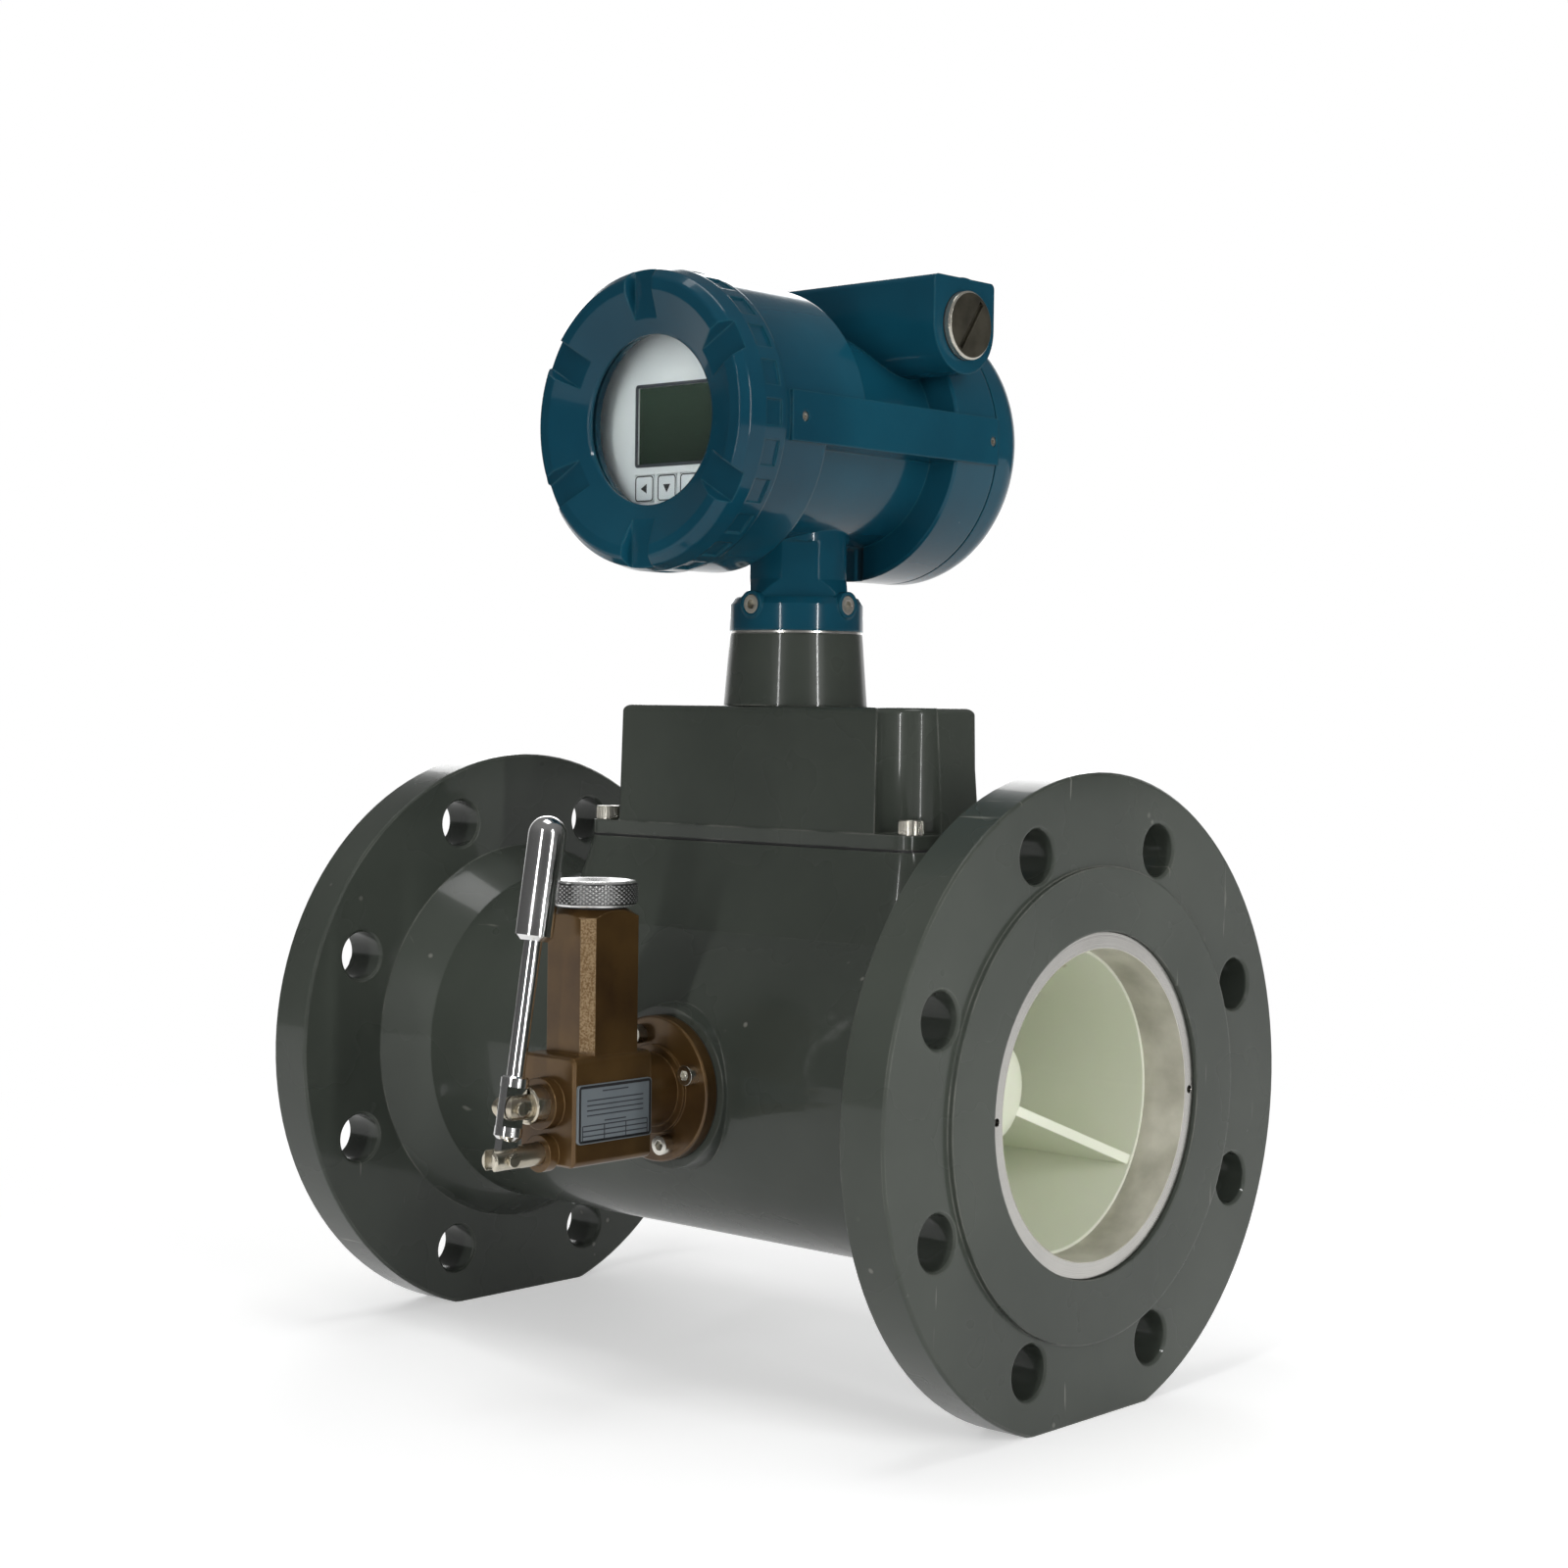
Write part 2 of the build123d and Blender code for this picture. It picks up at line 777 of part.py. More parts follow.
with BuildPart() as rotor_shaft:
    with BuildSketch(Plane.XY):
        with BuildLine():
            Polyline(
                (rotor_start - rotor_nut_length, 0),
                (rotor_start - rotor_nut_length, shaft_r),
                (rotor_end + face_gap, shaft_r),
                (rotor_end + face_gap, shaft_shoulder_r),
                (outlet_core_start - 1 - face_gap, shaft_shoulder_r),
                (outlet_core_start - 1 - face_gap, shaft_r),
                (outlet_core_start - 1 + bearing_width + face_gap, shaft_r),
                (outlet_core_start - 1 + bearing_width + face_gap, shaft_shoulder_r),
                (sleeve_end - bearing_width - face_gap, shaft_shoulder_r),
                (sleeve_end - bearing_width - face_gap, shaft_r),
                (sleeve_end - face_gap, shaft_r),
                (sleeve_end - face_gap, 0),
                close=True,
            )
        make_face()
    revolve(axis=pipe_axis)
save(rotor_shaft.part, "rotor_shaft")

with BuildPart() as rotor_nut:
    with BuildSketch(across(rotor_start - face_gap)):
        RegularPolygon(2 * shaft_r, 6)
        Circle(shaft_r + seat_gap, mode=Mode.SUBTRACT)
    extrude(amount=-rotor_nut_length)
save(rotor_nut.part, "rotor_nut")

# Sensors that stand on the pad inside the junction box
with BuildPart() as pickup_sensor:
    with BuildSketch(level(guide_r + 1 - 3 + face_gap, pickup_x)):
        Circle(pickup_r)
    extrude(amount=pad_top - guide_r + 2 + sensor_head_h)
    with BuildSketch(level(pad_top, pickup_x)):
        RegularPolygon(1.7 * pickup_r, 6)
    extrude(amount=5)
save(pickup_sensor.part, "pickup_sensor")

with BuildPart() as temperature_probe:
    with BuildSketch(level(core_r + 6, probe_x, probe_y)):
        Circle(probe_r)
    extrude(amount=pad_top - core_r - 6 + 2)
    with BuildSketch(level(pad_top, probe_x, probe_y)):
        RegularPolygon(2.4 * probe_r, 6)
    extrude(amount=sensor_head_h / 2)
save(temperature_probe.part, "temperature_probe")

with BuildPart() as pressure_sensor:
    with BuildSketch(level(pad_top, pressure_x)):
        Circle(pressure_r)
    extrude(amount=sensor_head_h)
    with BuildSketch(level(pad_top + sensor_head_h, pressure_x)):
        Circle(pressure_r / 2)
    extrude(amount=6)
save(pressure_sensor.part, "pressure_sensor")

# Junction box with its gasket and screws
with BuildPart() as box_gasket:
    with BuildSketch(level(pad_top)):
        RectangleRounded(box_foot_length, box_foot_width, box_corner_r)
        Rectangle(box_cavity_length, box_cavity_width, mode=Mode.SUBTRACT)
        with GridLocations(2 * box_screw_dx, 2 * box_screw_dy, 2, 2):
            Circle(box_screw_d / 2 + screw_clearance, mode=Mode.SUBTRACT)
    extrude(amount=gasket_t)
save(box_gasket.part, "box_gasket")

with BuildPart() as junction_box:
    with BuildSketch(level(box_ledge)):
        RectangleRounded(
            box_foot_length - 2 * box_flange_lip, box_foot_width - 2 * box_flange_lip, box_corner_r
        )
    with BuildSketch(level(box_top)):
        RectangleRounded(box_head_length, box_head_width, box_corner_r)
    loft()
    with BuildSketch(level(box_ledge)):
        with GridLocations(2 * box_screw_dx, 2 * box_screw_dy, 2, 2):
            Circle(scallop_r)
    extrude(amount=box_top - box_ledge, mode=Mode.SUBTRACT)
    roof_edges = junction_box.edges().group_by(Axis.Z)[-1]
    fillet(roof_edges, box_edge_r)
    with BuildSketch(level(box_floor)):
        RectangleRounded(box_foot_length, box_foot_width, box_corner_r)
    extrude(amount=box_flange_t)
    with BuildSketch(level(box_floor)):
        RectangleRounded(box_cavity_length, box_cavity_width, box_corner_r)
    extrude(amount=box_top - box_roof_t - box_floor, mode=Mode.SUBTRACT)
    with BuildSketch(level(box_floor)):
        with GridLocations(2 * box_screw_dx, 2 * box_screw_dy, 2, 2):
            Circle(box_screw_d / 2 + screw_clearance)
    extrude(amount=box_flange_t, mode=Mode.SUBTRACT)
    with BuildSketch(level(box_top)):
        Circle(neck_foot_spigot_r + seat_gap)
    extrude(amount=-box_roof_t, mode=Mode.SUBTRACT)
save(junction_box.part, "junction_box")

corner_places = [
    (sx * box_screw_dx, sy * box_screw_dy) for sx in (-1, 1) for sy in (-1, 1)
]
box_screws = socket_screws(level(box_ledge), corner_places, box_screw_d, box_flange_t + box_screw_bite)
save(box_screws, "box_screws")

# Neck between the box and the head
with BuildPart() as neck_adapter:
    with BuildSketch(neck_plan):
        with BuildLine():
            Polyline(
                (neck_passage_r, box_top - box_roof_t),
                (neck_foot_spigot_r, box_top - box_roof_t),
                (neck_foot_spigot_r, box_top),
                (neck_foot_r, box_top),
                (neck_head_r, neck_top),
                (neck_spigot_r, neck_top),
                (neck_spigot_r, neck_spigot_top),
                (neck_passage_r, neck_spigot_top),
                close=True,
            )
        make_face()
    revolve(axis=neck_axis)
save(neck_adapter.part, "neck_adapter")

neck_ring = tube(
    level(neck_top), neck_head_r - collar_ring_inset, neck_spigot_r + screw_clearance, collar_ring_t
)
save(neck_ring, "neck_ring")

# Head housing: ring at each end, waisted core, side bands, cable block and neck column
with BuildPart() as head_housing:
    with BuildSketch(facing_front(front_seam, head_z)):
        Circle(core_body_r)
    extrude(amount=-(front_seam + rear_seam))
    with BuildSketch(facing_front(front_seam, head_z)):
        Circle(front_ring_r)
    extrude(amount=-(front_seam - lower_ring_back))
    with BuildSketch(facing_front(lower_ring_back, head_z)):
        Circle(front_ring_r)
        with Locations((0, -front_ring_r)):
            Rectangle(2 * front_ring_r, 2 * front_ring_r, mode=Mode.SUBTRACT)
    extrude(amount=-(lower_ring_back - upper_ring_back))
    with BuildSketch(facing_back(rear_ring_front, head_z)):
        Circle(front_ring_r)
    extrude(amount=rear_seam - rear_ring_front)
    ring_edges = head_housing.edges().filter_by(GeomType.CIRCLE).filter_by(
        lambda e: abs(e.radius - front_ring_r) < radius_match and e.is_closed
    )
    chamfer(ring_edges, ring_edge)
    with BuildSketch(facing_front(band_front, head_z)):
        Rectangle(2 * band_reach, band_height)
    extrude(amount=-(band_front + rear_seam - 1))
    with BuildSketch(across(station_x - entry_reach)) as entry_end_view:
        with Locations((entry_y, head_z + entry_rise)):
            Circle(entry_r)
        with Locations((entry_y, head_z + (entry_rise + entry_top_rise) / 2)):
            Rectangle(2 * entry_r, entry_top_rise - entry_rise)
        fillet(entry_end_view.vertices().group_by(Axis.Y)[-1], entry_edge_r)
    extrude(amount=2 * entry_reach)
    with BuildSketch(neck_plan):
        with BuildLine():
            Polyline(
                (0, collar_bottom),
                (collar_r, collar_bottom),
                (collar_r, collar_top),
                (column_r, column_foot),
                (column_r, head_z - core_body_r / 2),
                (0, head_z - core_body_r / 2),
                close=True,
            )
        make_face()
    revolve(axis=neck_axis)
    for turn in (45, 135, 225, 315):
        shield = Plane(
            origin=(
                station_x + shield_reach * cos(radians(turn)),
                shield_reach * sin(radians(turn)),
                (collar_top + head_z - core_body_r) / 2 + 1.5,
            ),
            x_dir=(-sin(radians(turn)), cos(radians(turn)), 0),
            z_dir=(cos(radians(turn)), sin(radians(turn)), 0),
        )
        with BuildSketch(shield):
            Rectangle(2 * column_r, head_z - core_body_r - collar_top - 2)
        extrude(amount=collar_r - shield_reach + shield_overcut, mode=Mode.SUBTRACT)
    for turn in clamp_turns:
        with BuildSketch(radial_plane(turn, column_r * 0.6, clamp_z)):
            Circle(clamp_boss_r)
        extrude(amount=clamp_reach - column_r * 0.6)
    with BuildSketch(facing_front(front_seam, head_z)):
        Circle(cavity_r)
    extrude(amount=-(front_seam - lower_ring_back - 3), mode=Mode.SUBTRACT)
    with BuildSketch(facing_front(front_seam, head_z)):
        Circle(cover_thread_r + thread_gap)
    extrude(amount=-(cover_thread_length + seal_t + 2 * face_gap), mode=Mode.SUBTRACT)
    with BuildSketch(facing_front(front_seam, head_z)):
        Circle(chamber_r)
    extrude(amount=-(front_seam - chamber_wall / 2), mode=Mode.SUBTRACT)
    with BuildSketch(facing_back(rear_seam, head_z)):
        Circle(cavity_r)
    extrude(amount=-(rear_seam - rear_ring_front - 3), mode=Mode.SUBTRACT)
    with BuildSketch(facing_back(rear_seam, head_z)):
        Circle(cover_thread_r + thread_gap)
    extrude(amount=-(cover_thread_length + seal_t + 2 * face_gap), mode=Mode.SUBTRACT)
    with BuildSketch(facing_back(rear_seam, head_z)):
        Circle(chamber_r)
    extrude(amount=-(rear_seam - chamber_wall / 2), mode=Mode.SUBTRACT)
    with BuildSketch(facing_front(front_seam, head_z)):
        with Locations((0, -chamber_r * 0.6)):
            Circle(wire_hole_r / 2)
    extrude(amount=-(front_seam + rear_seam), mode=Mode.SUBTRACT)
    with BuildSketch(level(collar_bottom)):
        Circle(neck_spigot_r + running_gap)
    extrude(amount=neck_spigot_top + 1 - collar_bottom, mode=Mode.SUBTRACT)
    with BuildSketch(level(collar_bottom)):
        Circle(neck_passage_r)
    extrude(amount=head_z - chamber_r * 0.8 - collar_bottom, mode=Mode.SUBTRACT)
    for turn in clamp_turns:
        with BuildSketch(radial_plane(turn, clamp_reach, clamp_z)):
            Circle(clamp_screw_d * screw_head_ratio + thread_gap)
        extrude(amount=-clamp_sink, mode=Mode.SUBTRACT)
        with BuildSketch(radial_plane(turn, clamp_reach, clamp_z)):
            Circle(clamp_screw_d / 2 + thread_gap)
        extrude(amount=-(clamp_reach - neck_spigot_r + 1), mode=Mode.SUBTRACT)
    for side in (-1, 1):
        entry_end = Plane(
            origin=(station_x + side * entry_reach, entry_y, head_z + entry_rise),
            x_dir=(0, side, 0),
            z_dir=(side, 0, 0),
        )
        with BuildSketch(entry_end):
            Circle(plug_thread_r + thread_gap)
        extrude(amount=-plug_hole_length, mode=Mode.SUBTRACT)
        band_side = Plane(
            origin=(station_x + side * band_reach, 0, head_z), x_dir=(0, side, 0), z_dir=(side, 0, 0)
        )
        with BuildSketch(band_side):
            with Locations(*[(side * y, 0) for y in lock_places]):
                Circle(lock_screw_d / 2 + thread_gap)
        extrude(amount=-lock_screw_l - 1, mode=Mode.SUBTRACT)
save(head_housing.part, "head_housing")

clamp_screws = []
for turn in clamp_turns:
    seat = radial_plane(turn, clamp_reach - clamp_sink, clamp_z)
    clamp_screws.append(
        socket_screws(seat, [(0, 0)], clamp_screw_d, clamp_reach - clamp_sink - neck_spigot_r - running_gap)
    )
save(Compound(children=clamp_screws), "clamp_screws")

lock_screws = []
for side in (-1, 1):
    for y in lock_places:
        seat = Plane(
            origin=(station_x + side * (band_reach - 0.4), y, head_z),
            x_dir=(0, side, 0),
            z_dir=(side, 0, 0),
        )
        with BuildPart() as grub_screw:
            with BuildSketch(seat):
                Circle(lock_screw_d / 2)
            extrude(amount=-lock_screw_l)
            with BuildSketch(seat):
                RegularPolygon(lock_screw_d / 4, 6)
            extrude(amount=-1.2, mode=Mode.SUBTRACT)
        lock_screws.append(grub_screw.part)
save(Compound(children=lock_screws), "lock_screws")

# Front cover: lobed bezel with wrench notches and grip recesses round its back rim
with BuildPart() as front_cover:
    with BuildSketch(head_plan):
        with BuildLine():
            Polyline(
                (cover_r, -front_seam - face_gap),
                (cover_r, -cover_grip_front),
                (cover_front_r, -cover_shoulder_y),
                (crest_outer_r, -crest_y),
                (crest_inner_r, -crest_y),
                (window_r + 0.9, -window_y),
                (window_r, -window_y + 0.6),
                (window_r, -glass_seat_y),
                (glass_r + seat_gap, -glass_seat_y),
                (glass_r + seat_gap, -glass_seat_y + glass_t + retainer_w),
                (cover_cavity_r, -glass_seat_y + glass_t + retainer_w),
                (cover_cavity_r, -front_seam + cover_thread_length),
                (cover_thread_r, -front_seam + cover_thread_length),
                (cover_thread_r, -front_seam - face_gap),
                close=True,
            )
        make_face()
    revolve(axis=head_axis)
    front_edges = front_cover.edges().filter_by(GeomType.CIRCLE).filter_by(
        lambda e: abs(e.radius - cover_front_r) < radius_match or abs(e.radius - crest_outer_r) < radius_match
    )
    fillet(front_edges, 1.6)
    with BuildSketch(facing_front(crest_y + 0.2, head_z)):
        with PolarLocations((notch_inner_r + cover_r) / 2 + 1, notch_count, start_angle=30):
            Rectangle(cover_r - notch_inner_r + 4, notch_width)
    extrude(amount=-(crest_y + 0.2 - notch_floor_y), taper=notch_slope, mode=Mode.SUBTRACT)
    with BuildSketch(facing_front(cover_grip_front - 0.6, head_z)):
        with PolarLocations(cover_r + 1 - grip_depth, grip_count):
            Rectangle(2, grip_width)
    extrude(amount=-grip_length, mode=Mode.SUBTRACT)
save(front_cover.part, "front_cover")

# Front glass, the ring that holds it, and the seal behind the cover
front_glass = disc(facing_front(glass_seat_y - face_gap, head_z), glass_r, -glass_t)
save(front_glass, "front_glass")
glass_retainer = tube(
    facing_front(glass_seat_y - glass_t - 2 * face_gap, head_z),
    glass_r,
    retainer_inner_r,
    2 * face_gap - retainer_w,
)
save(glass_retainer, "glass_retainer")
front_cover_seal = tube(
    facing_front(front_seam - cover_thread_length - face_gap, head_z),
    cover_thread_r - running_gap,
    cavity_r + 2 * face_gap,
    -seal_t,
)
save(front_cover_seal, "front_cover_seal")

# Rear cover, domed towards its rim, and its seal
with BuildPart() as rear_cover:
    with BuildSketch(head_plan):
        with BuildLine():
            rim = Polyline(
                (rear_cover_flat_r, rear_cover_inner_y),
                (cavity_r - 1, rear_cover_shoulder),
                (cavity_r - 1, rear_seam - cover_thread_length),
                (cover_thread_r, rear_seam - cover_thread_length),
                (cover_thread_r, rear_seam + face_gap),
                (front_ring_r, rear_seam + face_gap),
                (front_ring_r, rear_cover_shoulder - 2),
            )
            shoulder = ThreePointArc(
                rim @ 1,
                (
                    front_ring_r - 1.3,
                    (rear_cover_shoulder - 2 + rear_cover_back - 1) / 2,
                ),
                (rear_cover_edge_r, rear_cover_back - 2.5),
            )
            Polyline(
                shoulder @ 1,
                (rear_cover_flat_r, rear_cover_back),
                (0, rear_cover_back),
                (0, rear_cover_inner_y),
                rim @ 0,
            )
        make_face()
    revolve(axis=head_axis)
    with BuildSketch(facing_back(rear_cover_back, head_z)):
        with PolarLocations(rear_cover_flat_r - 8, 4, start_angle=45):
            SlotOverall(12, 6)
    extrude(amount=-1.6, mode=Mode.SUBTRACT)
save(rear_cover.part, "rear_cover")
rear_cover_seal = tube(
    facing_back(rear_seam - cover_thread_length - face_gap, head_z),
    cover_thread_r - running_gap,
    cavity_r + 2 * face_gap,
    -seal_t,
)
save(rear_cover_seal, "rear_cover_seal")

# Cable entry plugs with their washers
for name, side in (("left_plug", -1), ("right_plug", 1)):
    washer_face = Plane(
        origin=(station_x + side * entry_reach, entry_y, head_z + entry_rise),
        x_dir=(0, side, 0),
        z_dir=(side, 0, 0),
    )
    washer = tube(washer_face, plug_head_r, plug_thread_r + running_gap, plug_washer_t)
    save(washer, name + "_washer")
    with BuildPart() as plug:
        with BuildSketch(washer_face.offset(plug_washer_t)):
            Circle(plug_head_r)
        extrude(amount=plug_head_t)
        head_rim = plug.edges().filter_by(GeomType.CIRCLE).sort_by(Axis.X)[-1 if side > 0 else 0]
        chamfer(head_rim, 0.7)
        with BuildSketch(washer_face.offset(plug_washer_t)):
            Circle(plug_thread_r)
        extrude(amount=-plug_thread_length)
        with BuildSketch(washer_face.offset(plug_washer_t + plug_head_t)):
            Rectangle(1.7 * plug_head_r, plug_slot_w, rotation=plug_slot_turn)
        extrude(amount=-1.4, mode=Mode.SUBTRACT)
    save(plug.part, name)

# Display: frame in the housing, white panel with a screen window, screen and four keys
with BuildPart() as display_panel:
    with BuildSketch(facing_front(panel_y, head_z)):
        Circle(panel_r)
        Rectangle(screen_width, screen_height, mode=Mode.SUBTRACT)
        with Locations(*key_places):
            Rectangle(key_width + 2 * key_clearance, key_height + 2 * key_clearance, mode=Mode.SUBTRACT)
    extrude(amount=-panel_t)
save(display_panel.part, "display_panel")

with BuildPart() as display_frame:
    with BuildSketch(facing_front(panel_y - panel_t, head_z)):
        Circle(frame_r)
    extrude(amount=-frame_depth)
    with BuildSketch(facing_front(panel_y - panel_t, head_z)):
        Rectangle(screen_width, screen_height)
    extrude(amount=-screen_t, mode=Mode.SUBTRACT)
    with BuildSketch(facing_front(panel_y - panel_t, head_z)):
        with Locations(*key_places):
            Rectangle(
                key_width + 2 * (key_foot + key_clearance),
                key_height + 2 * (key_foot + key_clearance),
            )
    extrude(amount=-key_well, mode=Mode.SUBTRACT)
    with BuildSketch(facing_front(panel_y - panel_t - frame_depth, head_z)):
        Circle(frame_r - 3)
        Circle(frame_r - 6, mode=Mode.SUBTRACT)
    extrude(amount=-(panel_y - panel_t - frame_depth - lower_ring_back - 3))
save(display_frame.part, "display_frame")

with BuildPart() as screen:
    with BuildSketch(facing_front(panel_y - screen_recess, head_z)):
        Rectangle(screen_width - 0.2, screen_height - 0.2)
    extrude(amount=-(screen_t + panel_t - screen_recess - face_gap))
save(screen.part, "screen")

for name, place in zip(("key_left", "key_down", "key_up", "key_enter"), key_places):
    with BuildPart() as key:
        with BuildSketch(facing_front(panel_y + key_proud, head_z)):
            with Locations(place):
                RectangleRounded(key_width, key_height, 1.2)
        extrude(amount=-(key_proud + panel_t + key_well - key_travel - face_gap))
        with BuildSketch(facing_front(panel_y - panel_t - face_gap, head_z)):
            with Locations(place):
                Rectangle(key_width + 2 * key_foot, key_height + 2 * key_foot)
        extrude(amount=-(key_well - key_travel - 2 * face_gap))
    save(key.part, name)

with BuildPart() as main_board:
    with BuildSketch(facing_front(board_y, head_z)):
        Rectangle(board_length, board_height)
    extrude(amount=-board_t)
    with BuildSketch(facing_front(board_y, head_z)):
        with GridLocations(board_length - board_margin, board_height - board_margin, 2, 2):
            Circle(spacer_r)
    extrude(amount=panel_y - panel_t - frame_depth - face_gap - board_y)
    with BuildSketch(facing_front(board_y, head_z)):
        with Locations(*chip_places):
            Rectangle(chip_length, chip_width)
    extrude(amount=chip_height)
save(main_board.part, "main_board")

terminal_face = chamber_wall / 2 + face_gap + terminal_depth
with BuildPart() as terminal_block:
    with BuildSketch(facing_back(terminal_face, head_z)):
        Rectangle(terminal_length, terminal_height)
    extrude(amount=-terminal_depth)
    with BuildSketch(facing_back(terminal_face, head_z)):
        with GridLocations(terminal_pitch, terminal_height / 2, 5, 2):
            Circle(terminal_hole_r)
    extrude(amount=-terminal_depth / 3, mode=Mode.SUBTRACT)
save(terminal_block.part, "terminal_block")

# Oil pump: flange, block with the cylinder, reservoir tower
with BuildPart() as pump_gasket:
    with BuildSketch(facing_front(boss_y, pump_z)):
        Circle(pump_flange_r)
        Circle(oil_pocket_r, mode=Mode.SUBTRACT)
        with PolarLocations(pump_screw_circle_r, 4, start_angle=pump_screw_angle):
            Circle(pump_screw_d / 2 + face_gap, mode=Mode.SUBTRACT)
    extrude(amount=pump_gasket_t)
save(pump_gasket.part, "pump_gasket")

with BuildPart() as pump_body:
    with BuildSketch(facing_front(pump_face, pump_z)):
        Circle(pump_flange_r)
    extrude(amount=pump_flange_t)
    flange_edge = pump_body.edges().filter_by(GeomType.CIRCLE).sort_by(Axis.Y)[0]
    chamfer(flange_edge, 0.6)
    with BuildSketch(facing_front(pump_face, pump_z)):
        Circle(pump_step_r)
    extrude(amount=pump_flange_t + pump_step_t)
    with BuildSketch(facing_front(pump_front, pump_z)):
        Circle(pump_throat_r)
    extrude(amount=block_start - pump_front + block_edge_r)
    with BuildSketch(facing_front(block_start, 0)):
        with Locations((0, (block_top + block_bottom) / 2)):
            RectangleRounded(2 * block_half, block_top - block_bottom, block_edge_r)
    extrude(amount=block_end - block_start)
    chamfer(pump_body.faces().sort_by(Axis.Y)[0].edges(), block_bevel)
    with BuildSketch(level(block_top - 1, y=-cap_y)):
        Rectangle(2 * tower_half_x, tower_front - tower_back)
    extrude(amount=tower_top - block_top + 1)
    tower_edges = pump_body.edges().filter_by(Axis.Z).filter_by(
        lambda e: e.length > tower_top - block_top - 2
    )
    chamfer(tower_edges, tower_chamfer)
    with BuildSketch(tower_plan):
        with BuildLine():
            Polyline(
                (tower_neck_r, tower_top),
                (tower_neck_r + tower_cone_h * 1.6, tower_top - tower_cone_h),
                (tower_neck_r + tower_cone_h * 4, tower_top - tower_cone_h),
                (tower_neck_r + tower_cone_h * 4, tower_top + 1),
                (tower_neck_r, tower_top + 1),
                close=True,
            )
        make_face()
    revolve(axis=tower_axis, mode=Mode.SUBTRACT)
    with BuildSketch(level(reservoir_floor, y=-cap_y)):
        Circle(reservoir_r)
    extrude(amount=tower_top - reservoir_floor, mode=Mode.SUBTRACT)
    for z, r in ((stem_z, stem_boss_r), (fulcrum_z, fulcrum_boss_r)):
        with BuildSketch(facing_front(block_end, z)):
            Circle(r)
        extrude(amount=stem_boss_end - block_end)
    with BuildSketch(facing_front(stem_boss_end, stem_z)):
        Circle(stem_r + running_gap)
    extrude(amount=-(stem_boss_end - pump_chamber_end), mode=Mode.SUBTRACT)
    with BuildSketch(facing_front(stem_boss_end, stem_z)):
        Circle(packing_r)
    extrude(amount=-(packing_t + gland_thread_l), mode=Mode.SUBTRACT)
    with BuildSketch(facing_front(pump_chamber_end, stem_z)):
        Circle(valve_r + seat_gap)
    extrude(amount=-(pump_chamber_end - pump_face), mode=Mode.SUBTRACT)
    with BuildSketch(level(reservoir_floor + 1, y=-cap_y)):
        Circle(1.2)
    extrude(amount=stem_z - reservoir_floor - 1, mode=Mode.SUBTRACT)
    with BuildSketch(facing_front(stem_boss_end, fulcrum_z)):
        Circle(fulcrum_rod_r + seat_gap)
    extrude(amount=-(stem_boss_end - fulcrum_rod_start), mode=Mode.SUBTRACT)
    with BuildSketch(facing_front(pump_front, pump_z)):
        with PolarLocations(pump_screw_circle_r, 4, start_angle=pump_screw_angle):
            Circle(pump_screw_d / 2 + 0.2)
    extrude(amount=-pump_flange_t, mode=Mode.SUBTRACT)
save(pump_body.part, "pump_body")

pump_screw_places = [
    (pump_screw_circle_r * cos(radians(a)), pump_screw_circle_r * sin(radians(a)))
    for a in (pump_screw_angle + 90 * k for k in range(4))
]
pump_screws = socket_screws(
    facing_front(pump_front, pump_z), pump_screw_places, pump_screw_d, pump_flange_t + 8
)
save(pump_screws, "pump_screws")

with BuildPart() as nameplate:
    with BuildSketch(side_plane(block_half)):
        RectangleRounded(plate_length, plate_height, 1.2)
    extrude(amount=plate_t)
save(nameplate.part, "nameplate")

with BuildPart() as outlet_valve:
    with BuildSketch(facing_front(pump_chamber_end - face_gap, stem_z)):
        Circle(valve_r)
        Circle(valve_r / 2, mode=Mode.SUBTRACT)
    extrude(amount=-(pump_chamber_end - pump_face - 2))
save(outlet_valve.part, "outlet_valve")

stem_packing = tube(
    facing_front(stem_boss_end - gland_thread_l - packing_t, stem_z),
    packing_r - seat_gap,
    stem_r + running_gap,
    packing_t - face_gap,
)
save(stem_packing, "stem_packing")

with BuildPart() as gland_nut:
    with BuildSketch(facing_front(stem_boss_end, stem_z)):
        Circle(gland_r)
    extrude(amount=gland_end - stem_boss_end)
    nut_edges = gland_nut.edges().filter_by(GeomType.CIRCLE).sort_by(Axis.Y)[0]
    chamfer(nut_edges, 0.5)
    with BuildSketch(facing_front(stem_boss_end, stem_z)):
        Circle(packing_r - seat_gap)
    extrude(amount=-(gland_thread_l - face_gap))
    with BuildSketch(facing_front(gland_end, stem_z)):
        Circle(stem_r + running_gap)
    extrude(amount=-(gland_end - stem_boss_end + gland_thread_l), mode=Mode.SUBTRACT)
save(gland_nut.part, "gland_nut")

# Reservoir cap: knurled rim left plain here, dished top, threaded plug
cap_gasket = tube(level(tower_top, y=-cap_y), tower_neck_r, reservoir_r, cap_gasket_t)
save(cap_gasket, "cap_gasket")

with BuildPart() as reservoir_cap:
    with BuildSketch(tower_plan):
        with BuildLine():
            Polyline(
                (0, cap_bottom + cap_h - cap_dish_depth),
                (cap_dish_r - 2, cap_bottom + cap_h - cap_dish_depth),
                (cap_dish_r, cap_bottom + cap_h),
                (cap_r - 0.8, cap_bottom + cap_h),
                (cap_r, cap_bottom + cap_h - 0.8),
                (cap_r, cap_bottom + 0.6),
                (cap_r - 0.6, cap_bottom),
                (reservoir_r - thread_gap, cap_bottom),
                (reservoir_r - thread_gap, cap_bottom - cap_thread_l),
                (0, cap_bottom - cap_thread_l),
                close=True,
            )
        make_face()
    revolve(axis=tower_axis)
save(reservoir_cap.part, "reservoir_cap")

